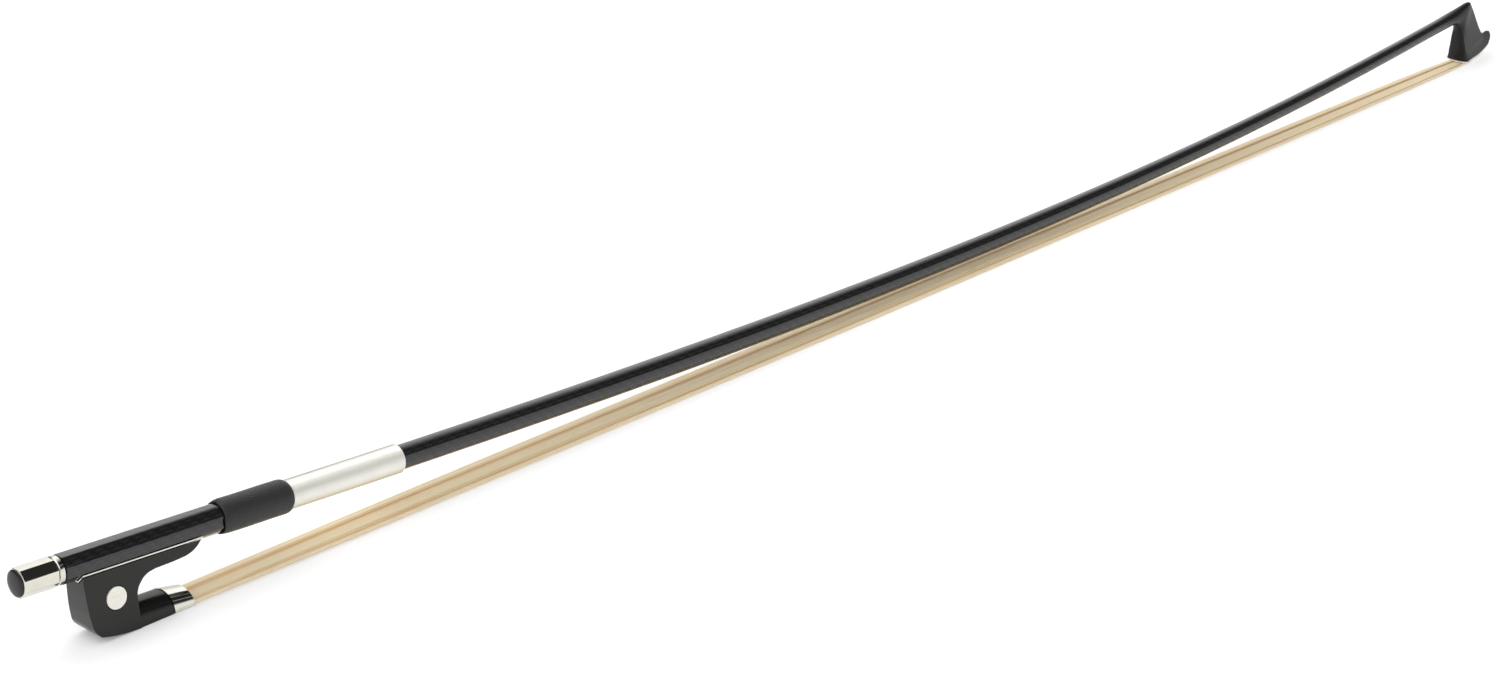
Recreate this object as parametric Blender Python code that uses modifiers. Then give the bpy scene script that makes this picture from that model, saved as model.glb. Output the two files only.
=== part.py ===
"""A carbon fibre violin bow, modelled piece by piece at its real size.

X runs from the button to the tip and Z is up. The bow lies hair down, so the
frog and the tip plate stand on the plane Z = 0 and the origin is under its middle.
Lengths along the bow are given as distances from the button's end.
"""

import math

import bmesh
import bpy
from mathutils import Matrix, Vector

MM = 0.001

# Driving sizes, in metres
OVERALL_LENGTH = 745 * MM
GAP = 0.3 * MM
BUTTON_END = -OVERALL_LENGTH / 2

# The handle is straight and leans down towards the tip
HANDLE_FLATS = 8.8 * MM
HANDLE_AXIS_HEIGHT = 26.6 * MM
HANDLE_SLOPE = -0.067
OCTAGON_END = 70 * MM
OCTAGON_FADE = 6 * MM
OCTAGON_CORNER = 1.055

# The stick beyond the handle curves towards the hair
CAMBER_START = 100 * MM
CAMBER_END = 716 * MM
CAMBER_END_HEIGHT = 21.2 * MM
CAMBER_END_SLOPE = 0.105
STICK_REAR = 14.9 * MM
RING_POINTS = 32

# Frog
FROG_REAR = 20.0 * MM
FROG_SHOULDER = 49.3 * MM
FROG_HALF_WIDTH_TOP = 4.5 * MM
FROG_HALF_WIDTH_BOTTOM = 6.3 * MM
FROG_TOP = 22.6 * MM
FROG_EDGE_ROUND = 0.6 * MM
NOSE_HALF_WIDTH = 6.1 * MM
NOSE_FOOT_ROUND = 0.35 * MM
NOSE_ROOT_HEIGHT = 6.9 * MM
NOSE_END_HEIGHT = 5.95 * MM
EYELET_PLACE = 36.0 * MM
EYELET_TRAVEL_ROOM = 7.6 * MM
POST_RADIUS = 1.6 * MM
TONGUE_FLOOR = 3.2 * MM
FERRULE_TONGUE = 5.2 * MM

# Frog mortise, hair channel and pearl slide
MORTISE_REAR = 31.0 * MM
MORTISE_FRONT = 36.4 * MM
MORTISE_HALF_WIDTH = 3.0 * MM
MORTISE_TOP = 8.4 * MM
HAIR_CHANNEL_TOP = 3.0 * MM
HAIR_CHANNEL_REAR_HALF = 3.6 * MM
HAIR_CHANNEL_FRONT_HALF = 5.15 * MM
HAIR_CHANNEL_OVERLAP = 0.4 * MM
FROG_KNOT_RADIUS = 1.2 * MM
FROG_KNOT_LENGTH = 4.8 * MM
FROG_KNOT_HEIGHT = 6.8 * MM
FROG_KNOT_GAP = 0.4 * MM
FROG_PLUG_LENGTH = 1.9 * MM
SLIDE_REAR = 30.0 * MM
SLIDE_HALF_WIDTH = 3.9 * MM
SLIDE_TOP = 1.5 * MM
PEARL_THICKNESS = 0.7 * MM
PEARL_REAR_LIFT = 0.5 * MM
PEARL_FLAT_START = 32.5 * MM

# Underslide, a silver channel between frog and stick with its edges cut upright, and its pins
UNDERSLIDE_THICKNESS = 0.3 * MM
UNDERSLIDE_FACE = HANDLE_FLATS / 2 + GAP
UNDERSLIDE_HALF_WIDTH = 4.5 * MM
UNDERSLIDE_REAR = FROG_REAR + 0.15 * MM
UNDERSLIDE_FLAT_FRONT = 60.2 * MM
UNDERSLIDE_LIP_FRONT = 63.4 * MM
CHANNEL_FACE = UNDERSLIDE_FACE + UNDERSLIDE_THICKNESS + GAP
PIN_PLACES = {"underslide_pin_rear": 24.0 * MM, "underslide_pin_front": 46.0 * MM}
PIN_RADIUS = 0.45 * MM
PIN_END = 6.5 * MM

# Round eyes set in the frog's sides
EYE_RADIUS = 3.5 * MM
EYE_PLACE = 30.3 * MM
EYE_HEIGHT = 12.4 * MM
EYE_THICKNESS = 1.0 * MM
EYE_PROUD = 0.05 * MM

# Ferrule: its sizes are half width, height and fullness of the arch
FERRULE_REAR = FROG_SHOULDER + GAP
FERRULE_FRONT = 57.0 * MM
FERRULE_REAR_SIZE = (6.35 * MM, 6.20 * MM, 2.3)
FERRULE_FRONT_SIZE = (6.20 * MM, 4.50 * MM, 2.1)
FERRULE_WALL = 0.5 * MM
FERRULE_FOOT_ROUND = 0.35 * MM

# Screw and button
SCREW_RADIUS = 1.5 * MM
SCREW_TIP_RADIUS = 1.1 * MM
SCREW_TIP = 78 * MM
SCREW_STEP = 54 * MM
SCREW_CHAMFER = 0.4 * MM
NIPPLE_REAR = 11.9 * MM
NIPPLE_RADIUS = 2.4 * MM
CORE_RADIUS = 3.7 * MM
CORE_NECK_RADIUS = 3.3 * MM
CORE_DOME = 0.5 * MM
SLEEVE_REAR = 0.35 * MM
SLEEVE_FRONT = 12.4 * MM
COLLAR_REAR = 12.7 * MM
COLLAR_FRONT = 14.6 * MM
COLLAR_RADIUS = 4.55 * MM

# Head and tip plate
PLATE_THICKNESS = 1.6 * MM
PLATE_REAR = 719.9 * MM
PLATE_SLOPE_WIDTH = 2.0 * MM
PLATE_RISE_START = 731 * MM
PLATE_RISE_LENGTH = 13 * MM
PLATE_RISE = 2.1 * MM
HEAD_BOTTOM = PLATE_THICKNESS + GAP
HEAD_MORTISE_REAR = 723.3 * MM
HEAD_MORTISE_FRONT = 727.3 * MM
HEAD_MORTISE_TOP = 6.2 * MM
HEAD_MORTISE_HALF_WIDTH = 2.9 * MM
HEAD_MORTISE_TOP_HALF_WIDTH = 2.6 * MM
HAIR_REBATE = 1.1 * MM
HEAD_KNOT_RADIUS = 0.85 * MM
HEAD_KNOT_LENGTH = 4.2 * MM
HEAD_KNOT_HEIGHT = 5.0 * MM
HEAD_PLUG_HALF_WIDTH = 2.3 * MM
HEAD_PLUG_LENGTH = 2.1 * MM
HEAD_PLUG_TOP = 3.8 * MM
PLUG_BEVEL = 0.2 * MM

# Hair
HAIR_THICKNESS = 0.6 * MM
HAIR_RIDGES = 11

# Lapping
LEATHER_START = 71.6 * MM
LEATHER_END = 97.2 * MM
LEATHER_RADIUS = 5.45 * MM
LEATHER_REAR_ROUND = 0.6 * MM
LEATHER_FRONT_ROUND = 1.8 * MM
WINDING_START = 97.6 * MM
WINDING_END = 142.0 * MM
WINDING_RADIUS = 4.7 * MM

COLLECTION_NAME = "violin_bow"
CUTTER_COLLECTION_NAME = "violin_bow_cutters"


# Scene and object helpers

def clear_scene():
    for old in list(bpy.data.objects):
        bpy.data.objects.remove(old, do_unlink=True)


def make_collection(name):
    collection = bpy.data.collections.new(name)
    bpy.context.scene.collection.children.link(collection)
    return collection


def make_material(name, colour, roughness, metallic=0.0):
    material = bpy.data.materials.new(name)
    material.use_nodes = True
    shader = material.node_tree.nodes["Principled BSDF"]
    shader.inputs["Base Color"].default_value = (*colour, 1.0)
    shader.inputs["Roughness"].default_value = roughness
    shader.inputs["Metallic"].default_value = metallic
    material.diffuse_color = (*colour, 1.0)
    return material


def place(obj, parent=None, location=(0, 0, 0), rotation=(0, 0, 0)):
    obj.parent = parent
    obj.location = location
    obj.rotation_euler = rotation
    return obj


def add_object(name, mesh, collection, material=None):
    obj = bpy.data.objects.new(name, mesh)
    collection.objects.link(obj)
    if material is not None:
        mesh.materials.clear()
        mesh.materials.append(material)
    return obj


def shade_round(obj, angle=40):
    obj.data.shade_smooth()
    obj.data.set_sharp_from_angle(angle=math.radians(angle))


def mesh_from_bmesh(name, bm):
    bmesh.ops.recalc_face_normals(bm, faces=bm.faces)
    closed = not any(edge.is_boundary for edge in bm.edges)
    if closed and bm.calc_volume(signed=True) < 0:
        bmesh.ops.reverse_faces(bm, faces=bm.faces)
    mesh = bpy.data.meshes.new(name)
    bm.to_mesh(mesh)
    bm.free()
    return mesh


def mark_as_cutter(obj):
    obj.hide_render = True
    obj.display_type = "WIRE"
    return obj


def boolean(target, tool, operation="DIFFERENCE"):
    modifier = target.modifiers.new(f"{operation.lower()} {tool.name}", "BOOLEAN")
    modifier.object = tool
    modifier.operation = operation
    modifier.solver = "EXACT"


def bevel(obj, width, segments=2, angle=40):
    modifier = obj.modifiers.new("soft edges", "BEVEL")
    modifier.width = width
    modifier.segments = segments
    modifier.limit_method = "ANGLE"
    modifier.angle_limit = math.radians(angle)


# Shape helpers

def box_mesh(name, low, high):
    """A box between two corners."""
    bm = bmesh.new()
    bmesh.ops.create_cube(bm, size=1.0)
    low = Vector(low)
    high = Vector(high)
    bmesh.ops.scale(bm, vec=high - low, verts=bm.verts)
    bmesh.ops.translate(bm, vec=(low + high) / 2, verts=bm.verts)
    return mesh_from_bmesh(name, bm)


def cylinder_mesh(name, radius, start, end, axis="X", segments=32):
    """A cylinder along one axis, between two places on it."""
    bm = bmesh.new()
    bmesh.ops.create_cone(bm, cap_ends=True, segments=segments, radius1=radius,
                          radius2=radius, depth=end - start)
    bmesh.ops.translate(bm, vec=(0, 0, (start + end) / 2), verts=bm.verts)
    if axis == "X":
        bmesh.ops.rotate(bm, verts=bm.verts, matrix=Matrix.Rotation(math.pi / 2, 3, "Y"))
    if axis == "Y":
        bmesh.ops.rotate(bm, verts=bm.verts, matrix=Matrix.Rotation(-math.pi / 2, 3, "X"))
    return mesh_from_bmesh(name, bm)


def turned_object(name, profile, collection, material=None, segments=32):
    """A profile of (distance, radius) points, listed towards +X, turned about the X axis."""
    ring = profile[0] == profile[-1]
    points = profile[:0:-1] if ring else profile[::-1]
    edges = [(i, i + 1) for i in range(len(points) - 1)]
    if ring:
        edges.append((len(points) - 1, 0))
    mesh = bpy.data.meshes.new(name)
    mesh.from_pydata([(x, 0, radius) for x, radius in points], edges, [])
    obj = add_object(name, mesh, collection, material)
    turn = obj.modifiers.new("turn", "SCREW")
    turn.axis = "X"
    turn.steps = segments
    turn.render_steps = segments
    turn.use_merge_vertices = True
    turn.merge_threshold = 0.01 * MM
    turn.use_smooth_shade = True
    return obj


def skin_rings(bm, rings):
    """Join closed rings that all have the same number of points, and return the rows of vertices."""
    rows = [[bm.verts.new(point) for point in ring] for ring in rings]
    count = len(rows[0])
    for row, next_row in zip(rows, rows[1:]):
        for i in range(count):
            j = (i + 1) % count
            bm.faces.new((row[i], row[j], next_row[j], next_row[i]))
    return rows


def loft_mesh(name, rings, capped=True):
    """Skin a list of closed rings, with a flat cap on each end where capped."""
    bm = bmesh.new()
    rows = skin_rings(bm, rings)
    if capped:
        bm.faces.new(rows[0])
        bm.faces.new(rows[-1])
    return mesh_from_bmesh(name, bm)


def outline_mesh(name, points, thickness):
    """A flat outline of (x, z, smooth) points, thick along Y and centred on Y = 0."""
    curve = bpy.data.curves.new(name, "CURVE")
    curve.dimensions = "2D"
    curve.fill_mode = "BOTH"
    curve.extrude = thickness / 2
    curve.resolution_u = 5
    spline = curve.splines.new("BEZIER")
    spline.use_cyclic_u = True
    spline.bezier_points.add(len(points) - 1)
    for point, (x, z, smooth) in zip(spline.bezier_points, points):
        point.co = (x, z, 0)
        point.handle_left_type = "AUTO" if smooth else "VECTOR"
        point.handle_right_type = point.handle_left_type
    guide = bpy.data.objects.new(name, curve)
    bpy.context.scene.collection.objects.link(guide)
    depsgraph = bpy.context.evaluated_depsgraph_get()
    mesh = bpy.data.meshes.new_from_object(guide.evaluated_get(depsgraph))
    bm = bmesh.new()
    bm.from_mesh(mesh)
    bmesh.ops.remove_doubles(bm, verts=bm.verts, dist=1e-6)
    bmesh.ops.rotate(bm, verts=bm.verts, matrix=Matrix.Rotation(math.pi / 2, 3, "X"))
    bmesh.ops.dissolve_limit(bm, angle_limit=math.radians(1), verts=bm.verts, edges=bm.edges)
    bpy.data.objects.remove(guide)
    bpy.data.meshes.remove(mesh)
    return mesh_from_bmesh(name, bm)


def smooth_step(value, start, end):
    t = min(max((value - start) / (end - start), 0.0), 1.0)
    return t * t * (3 - 2 * t)


# The stick's centre line

def centre_height(distance):
    """Height of the stick's centre: a straight handle, then one cubic to the head."""
    straight = HANDLE_AXIS_HEIGHT + HANDLE_SLOPE * distance
    if distance <= CAMBER_START:
        return straight
    run = CAMBER_END - CAMBER_START
    t = min((distance - CAMBER_START) / run, 1.0)
    start_height = HANDLE_AXIS_HEIGHT + HANDLE_SLOPE * CAMBER_START
    height = ((2 * t**3 - 3 * t**2 + 1) * start_height
              + (t**3 - 2 * t**2 + t) * run * HANDLE_SLOPE
              + (3 * t**2 - 2 * t**3) * CAMBER_END_HEIGHT
              + (t**3 - t**2) * run * CAMBER_END_SLOPE)
    return height + max(distance - CAMBER_END, 0) * CAMBER_END_SLOPE


def centre_slope(distance):
    step = 0.5 * MM
    return (centre_height(distance + step) - centre_height(distance - step)) / (2 * step)


# Diameter of the stick at distances from the button's end
STICK_TAPER = [
    (OCTAGON_END, 8.8 * MM), (80 * MM, 8.5 * MM), (CAMBER_START, 8.1 * MM),
    (275 * MM, 7.9 * MM), (487 * MM, 6.6 * MM), (611 * MM, 5.8 * MM), (706 * MM, 5.4 * MM),
]


def stick_radius(distance):
    if distance <= STICK_TAPER[0][0]:
        return STICK_TAPER[0][1] / 2
    for (x0, d0), (x1, d1) in zip(STICK_TAPER, STICK_TAPER[1:]):
        if distance <= x1:
            return (d0 + (d1 - d0) * (distance - x0) / (x1 - x0)) / 2
    return STICK_TAPER[-1][1] / 2


def octagon_factor(angle):
    """Ratio of a soft-edged octagon's radius to its inner circle's, flats at 0 degrees."""
    eighth = math.pi / 4
    off_flat = (angle + eighth / 2) % eighth - eighth / 2
    return min(1 / math.cos(off_flat), OCTAGON_CORNER)


def stick_ring(distance):
    """Cross-section of the stick, square to its centre line, starting at the top."""
    slope = centre_slope(distance)
    length = math.hypot(1, slope)
    up = Vector((-slope / length, 0, 1 / length))
    centre = Vector((BUTTON_END + distance, 0, centre_height(distance)))
    radius = stick_radius(distance)
    roundness = smooth_step(distance, OCTAGON_END, OCTAGON_END + OCTAGON_FADE)
    ring = []
    for i in range(RING_POINTS):
        angle = 2 * math.pi * i / RING_POINTS
        factor = octagon_factor(angle)
        reach = radius * (factor + (1 - factor) * roundness)
        ring.append(centre + up * reach * math.cos(angle) + Vector((0, reach * math.sin(angle), 0)))
    return ring


def round_ring(distance, radius, count):
    """A round section square to the stick's centre line, starting at the top."""
    up = Vector((-centre_slope(distance), 0, 1)).normalized()
    centre = Vector((BUTTON_END + distance, 0, centre_height(distance)))
    ring = []
    for i in range(count):
        angle = 2 * math.pi * i / count
        ring.append(centre + up * radius * math.cos(angle) + Vector((0, radius * math.sin(angle), 0)))
    return ring


# The head: each section runs from a point on the throat side to one on the front ridge

# Where the front ridge meets the beak, in millimetres from the button's end, and how late
# the narrow ridge below it widens to the plate's outline
NOTCH_PLACE = 739.4
RIDGE_FLARE = 6

# Throat-side x and z, front x and z and half width in millimetres, then two shares:
# of the wedge form against the round one, and of the plate's curve against a straight line
HEAD_SECTIONS = [
    (714.6, 18.20, 714.0, 23.75, 2.72, 0.0, 0.0),
    (717.0, 17.95, 718.4, 24.30, 2.75, 0.1, 0.0),
    (718.5, 17.20, 722.4, 24.95, 2.80, 0.3, 0.0),
    (719.3, 16.00, 725.4, 25.45, 2.85, 0.4, 0.0),
    (719.7, 14.70, 727.3, 25.45, 2.90, 0.5, 0.0),
    (719.8, 13.90, 728.5, 24.90, 2.95, 0.6, 0.0),
    (719.85, 13.10, 729.2, 23.80, 3.00, 0.75, 0.0),
    (719.9, 11.30, 731.3, 20.60, 3.25, 0.95, 0.0),
    (719.9, 9.40, 733.4, 16.80, 3.50, 1.0, 0.0),
    (719.9, 7.70, 735.5, 13.10, 3.85, 1.0, 0.0),
    (719.9, 6.30, 737.5, 10.10, 4.15, 1.0, 0.05),
    (719.9, 5.30, 739.4, 8.35, 4.40, 1.0, 0.15),
    (719.9, 4.60, 740.9, 8.75, 4.50, 1.0, 0.3),
    (719.9, 4.00, 742.6, 9.15, 4.60, 1.0, 0.5),
    (719.9, 3.60, 743.9, 8.75, 4.70, 1.0, 0.62),
    (719.9, 3.20, 744.7, 7.70, 4.80, 1.0, 0.75),
    (719.9, 2.75, 745.0, 6.40, 4.95, 1.0, 0.87),
    (719.9, 2.25, 744.7, 4.95, 5.10, 1.0, 0.95),
    (719.9, 1.90, 743.9, 4.00, 5.30, 1.0, 1.0),
]


def plate_rise(distance):
    """Lift of the tip plate towards the beak."""
    past = max(distance - PLATE_RISE_START, 0)
    return PLATE_RISE * (past / PLATE_RISE_LENGTH) ** 2


def wedge_width(t, narrow=1.0):
    """Share of the half width across the head's depth.

    It is full at the rear, falls straight to a blunt ridge at the narrow place and stays even from there.
    """
    rear_round = 0.07
    front_round = 0.035
    ridge_share = 0.145
    taper = 0.875
    width = min(1.0, ridge_share + taper * max(1 - t / narrow, 0))
    if t < rear_round:
        width *= math.sqrt(max(1 - (1 - t / rear_round) ** 2, 0))
    if t > 1 - front_round:
        width *= math.sqrt(max(1 - ((t - 1 + front_round) / front_round) ** 2, 0))
    return width


def head_ring(section):
    rear_x, rear_z, front_x, front_z, half_width, wedge, curve = section
    rear = Vector((BUTTON_END + rear_x * MM, 0, rear_z * MM))
    front = Vector((BUTTON_END + front_x * MM, 0, front_z * MM))
    bottom_rear = Vector((BUTTON_END + HEAD_SECTIONS[-1][0] * MM, 0, HEAD_SECTIONS[-1][1] * MM))
    bottom_front = Vector((BUTTON_END + HEAD_SECTIONS[-1][2] * MM, 0, HEAD_SECTIONS[-1][3] * MM))
    narrow_x = min(front_x, NOTCH_PLACE + (front_x - NOTCH_PLACE) * curve ** RIDGE_FLARE)
    narrow = (narrow_x - rear_x) / (front_x - rear_x)
    ring = []
    for i in range(RING_POINTS):
        angle = 2 * math.pi * i / RING_POINTS
        t = (1 + math.cos(angle)) / 2
        point = rear.lerp(front, t)
        level = bottom_rear.lerp(bottom_front, t)
        wanted = HEAD_BOTTOM + plate_rise(level.x - BUTTON_END)
        point.z += (wanted - level.z) * curve
        side = abs(math.sin(angle))
        side += (wedge_width(t, narrow) - side) * wedge
        point.y = math.copysign(half_width * MM * side, math.sin(angle))
        if i in (0, RING_POINTS // 2):
            point.y = 0
        ring.append(point)
    return ring


def stick_mesh():
    stations = [STICK_REAR, 40 * MM, OCTAGON_END, OCTAGON_END + OCTAGON_FADE / 2, OCTAGON_END + OCTAGON_FADE,
                CAMBER_START]
    spans = 23
    last_round = STICK_TAPER[-1][0]
    for i in range(spans):
        stations.append(CAMBER_START + (last_round - CAMBER_START) * (i + 1) / spans)
    rings = [round_ring(NIPPLE_REAR, NIPPLE_RADIUS, RING_POINTS),
             round_ring(STICK_REAR, NIPPLE_RADIUS, RING_POINTS)]
    rings += [stick_ring(distance) for distance in stations]
    rings += [head_ring(section) for section in HEAD_SECTIONS]
    bm = bmesh.new()
    rows = skin_rings(bm, rings)
    bm.faces.new(rows[0])
    last = rows[-1]
    half = RING_POINTS // 2
    bm.faces.new((last[0], last[1], last[-1]))
    for i in range(1, half - 1):
        bm.faces.new((last[i], last[i + 1], last[-i - 1], last[-i]))
    bm.faces.new((last[half - 1], last[half], last[half + 1]))
    return mesh_from_bmesh("stick", bm)


def build_stick(parts, cutters, handle, carbon):
    stick = add_object("stick", stick_mesh(), parts, carbon)
    shade_round(stick, 30)
    mouth = NIPPLE_REAR - 1 * MM
    wide = SCREW_RADIUS + GAP
    narrow = SCREW_TIP_RADIUS + GAP
    bore_profile = [(mouth, 0), (mouth, wide), (SCREW_STEP + GAP, wide), (SCREW_STEP + GAP, narrow),
                    (SCREW_TIP + GAP, narrow), (SCREW_TIP + GAP, 0)]
    bore = turned_object("cut screw bore", bore_profile, cutters, None, 24)
    boolean(stick, place(mark_as_cutter(bore), handle))
    slot_reach = EYELET_TRAVEL_ROOM
    slot_half_width = 2.4 * MM
    slot_top = 3.3 * MM
    slot_mesh = box_mesh("cut eyelet slot", (EYELET_PLACE - slot_reach, -slot_half_width, -6 * MM),
                         (EYELET_PLACE + slot_reach, slot_half_width, slot_top))
    slot = add_object("cut eyelet slot", slot_mesh, cutters)
    boolean(stick, place(mark_as_cutter(slot), handle))
    rear = BUTTON_END + HEAD_MORTISE_REAR
    front = BUTTON_END + HEAD_MORTISE_FRONT
    pocket_rings = []
    for half, height in ((HEAD_MORTISE_HALF_WIDTH, 0.0), (HEAD_MORTISE_TOP_HALF_WIDTH, HEAD_MORTISE_TOP)):
        pocket_rings.append([(rear, -half, height), (rear, half, height),
                             (front, half, height), (front, -half, height)])
    pocket = add_object("cut head mortise", loft_mesh("cut head mortise", pocket_rings), cutters)
    boolean(stick, mark_as_cutter(pocket))
    return stick


# The tip plate and what holds the hair in the head

def plate_half_width(distance):
    """Half width of the plate: the head's own outline, seen from below."""
    length = (HEAD_SECTIONS[-1][2] - HEAD_SECTIONS[-1][0]) * MM
    t = (distance - PLATE_REAR) / length
    return HEAD_SECTIONS[-1][4] * MM * wedge_width(min(max(t, 0.0), 1.0))


def build_tip_plate(parts, cutters, ivory_white):
    """A thin plate on the head's underside, its sides sloping in under the head."""
    steps = 18
    length = (HEAD_SECTIONS[-1][2] - HEAD_SECTIONS[-1][0]) * MM
    end_inset = 0.004
    rings = []
    for i in range(steps + 1):
        t = end_inset + (1 - 2.5 * end_inset) * (1 - math.cos(math.pi * i / steps)) / 2
        distance = PLATE_REAR + length * t
        half = plate_half_width(distance)
        low_half = half - min(PLATE_SLOPE_WIDTH, 0.68 * half)
        low = plate_rise(distance)
        high = low + PLATE_THICKNESS
        x = BUTTON_END + distance
        rings.append([(x, -low_half, low), (x, low_half, low), (x, half, high), (x, -half, high)])
    plate = add_object("tip_plate", loft_mesh("tip_plate", rings), parts, ivory_white)
    hole_half = HEAD_MORTISE_HALF_WIDTH
    hole = box_mesh("cut plate mortise", (BUTTON_END + HEAD_MORTISE_REAR, -hole_half, -1 * MM),
                    (BUTTON_END + HEAD_MORTISE_FRONT, hole_half, 3 * MM))
    boolean(plate, mark_as_cutter(add_object("cut plate mortise", hole, cutters)))
    rebate = box_mesh("cut hair rebate", (BUTTON_END + PLATE_REAR - 1 * MM, -6 * MM, -1 * MM),
                      (BUTTON_END + HEAD_MORTISE_REAR + 0.2 * MM, 6 * MM, HAIR_REBATE))
    boolean(plate, mark_as_cutter(add_object("cut hair rebate", rebate, cutters)))
    return plate


def build_head_fixings(parts, wood, thread):
    """The knot that ends the hair at the top of the head's mortise, and the plug that wedges it in."""
    middle = BUTTON_END + (HEAD_MORTISE_REAR + HEAD_MORTISE_FRONT) / 2
    knot_half = HEAD_KNOT_LENGTH / 2
    knot = cylinder_mesh("head_hair_knot", HEAD_KNOT_RADIUS, -knot_half, knot_half, "Y", 20)
    knot_object = add_object("head_hair_knot", knot, parts, thread)
    knot_object.location = (middle, 0, HEAD_KNOT_HEIGHT)
    shade_round(knot_object)
    half = HEAD_PLUG_HALF_WIDTH
    front = BUTTON_END + HEAD_MORTISE_FRONT - GAP
    plug = box_mesh("head_plug", (front - HEAD_PLUG_LENGTH, -half, GAP), (front, half, HEAD_PLUG_TOP))
    plug_object = add_object("head_plug", plug, parts, wood)
    bevel(plug_object, PLUG_BEVEL, 1)


# The hair ribbon

# Distance, height and near and far half widths along the ribbon's middle, in millimetres
HAIR_ROUTE = [
    (34.9, 5.1, 2.4, 2.4), (35.0, 3.6, 2.45, 2.45), (35.5, 2.7, 2.5, 2.5), (36.6, 2.25, 2.65, 2.65),
    (39.5, 2.15, 3.3, 3.3), (49.3, 2.12, 4.7, 4.7), (52.5, 1.60, 5.1, 5.1),
    (56.0, 1.15, 5.35, 5.35), (60.0, 1.08, 5.65, 5.65),
    (120.0, 1.05, 6.7, 6.3), (250.0, 0.95, 7.2, 6.5), (400.0, 0.82, 7.0, 6.3), (550.0, 0.70, 6.3, 5.8),
    (680.0, 0.58, 5.1, 4.9), (706.0, 0.52, 4.6, 4.6), (719.5, 0.50, 3.9, 3.9), (722.6, 0.52, 2.75, 2.75),
    (723.7, 0.95, 2.55, 2.55), (724.15, 1.90, 2.45, 2.45), (724.25, 3.50, 2.35, 2.35),
]


def hair_section(index, count):
    """Place across the ribbon and lift through its thickness for one point of a ridged section."""
    valley = 0.62
    half = count // 2
    upper = index < half
    step = index if upper else index - half
    across = -1 + 2 * step / half if upper else 1 - 2 * step / half
    lift = valley if step % 2 else 1.0
    if step == 0:
        lift = 0.0
    return across, (lift if upper else -lift)


def build_hair(parts, horsehair):
    count = 4 * HAIR_RIDGES
    points = [Vector((BUTTON_END + x * MM, 0, z * MM)) for x, z, near, far in HAIR_ROUTE]
    rings = []
    for k, (x, z, near, far) in enumerate(HAIR_ROUTE):
        before = points[max(k - 1, 0)]
        after = points[min(k + 1, len(points) - 1)]
        along = (after - before).normalized()
        up = Vector((-along.z, 0, along.x))
        ring = []
        for i in range(count):
            across, lift = hair_section(i, count)
            width = far if across > 0 else near
            ring.append(points[k] + up * lift * HAIR_THICKNESS / 2 + Vector((0, across * width * MM, 0)))
        rings.append(ring)
    return add_object("hair_ribbon", loft_mesh("hair_ribbon", rings), parts, horsehair)


# The frog

def half_width_at(height):
    share = (FROG_TOP - height) / FROG_TOP
    return FROG_HALF_WIDTH_TOP + (FROG_HALF_WIDTH_BOTTOM - FROG_HALF_WIDTH_TOP) * share


SIDE_LEAN = math.atan((FROG_HALF_WIDTH_BOTTOM - FROG_HALF_WIDTH_TOP) / FROG_TOP)

# Side outline of the frog in millimetres: distance, height, and whether it is smooth there
FROG_OUTLINE = [
    (20.0, 23.6, False), (20.1, 15.0, True), (20.85, 7.3, True), (21.6, 4.4, True), (23.5, 2.1, False),
    (27.5, 1.1, True), (32.0, 0.35, True), (36.6, 0.0, False), (37.6, 0.0, False), (37.6, 10.0, False),
    (37.95, 11.8, True), (39.4, 14.1, True), (41.8, 15.8, True), (45.0, 16.4, False), (54.0, 16.3, True),
    (57.4, 16.6, True), (60.2, 17.7, True), (62.2, 19.3, True), (63.2, 20.3, False), (63.2, 20.8, False),
]


def arch(half_width, height, fullness, floor=0.0, foot=0.0, points=23):
    """A D-shaped section of (y, z) points: an arch above a flat floor, or above rounded feet on z = 0."""
    base = max(floor, foot)
    start = math.asin((base / height) ** (fullness / 2))
    section = []
    for i in range(points):
        angle = start + (math.pi - 2 * start) * i / (points - 1)
        y = -half_width * math.copysign(abs(math.cos(angle)) ** (2 / fullness), math.cos(angle))
        z = height * abs(math.sin(angle)) ** (2 / fullness)
        section.append((y, z))
    if foot:
        side = section[-1][0]
        diagonal = foot * (1 - math.sqrt(0.5))
        right_foot = [(side - diagonal, diagonal), (side - foot, 0.0)]
        left_foot = [(-side + foot, 0.0), (-side + diagonal, diagonal)]
        section = left_foot + section + right_foot
    return section


def arch_prism(name, start, end, start_size, end_size, capped=True, **shape):
    """An arch section drawn out along X between two sizes of half width, height and fullness."""
    rings = []
    for distance, size in ((start, start_size), (end, end_size)):
        x = BUTTON_END + distance
        rings.append([(x, y, z) for y, z in arch(*size, **shape)])
    return loft_mesh(name, rings, capped)


def frog_blank():
    mesh = outline_mesh("frog_body", [(x * MM, z * MM, s) for x, z, s in FROG_OUTLINE], 2.0)
    for vert in mesh.vertices:
        vert.co.y *= half_width_at(vert.co.z)
        vert.co.x += BUTTON_END
    return mesh


def octagon_prism(name, start, end, flat_distance):
    """An octagonal bar on the handle's axis."""
    corner = flat_distance / math.cos(math.pi / 8)
    bm = bmesh.new()
    bmesh.ops.create_cone(bm, cap_ends=True, segments=8, radius1=corner, radius2=corner, depth=end - start)
    bmesh.ops.rotate(bm, verts=bm.verts, matrix=Matrix.Rotation(math.pi / 8, 3, "Z"))
    bmesh.ops.translate(bm, vec=(0, 0, (start + end) / 2), verts=bm.verts)
    bmesh.ops.rotate(bm, verts=bm.verts, matrix=Matrix.Rotation(math.pi / 2, 3, "Y"))
    return mesh_from_bmesh(name, bm)


def cut_box(target, cutters, name, low, high):
    boolean(target, mark_as_cutter(add_object(name, box_mesh(name, low, high), cutters)))


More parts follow.
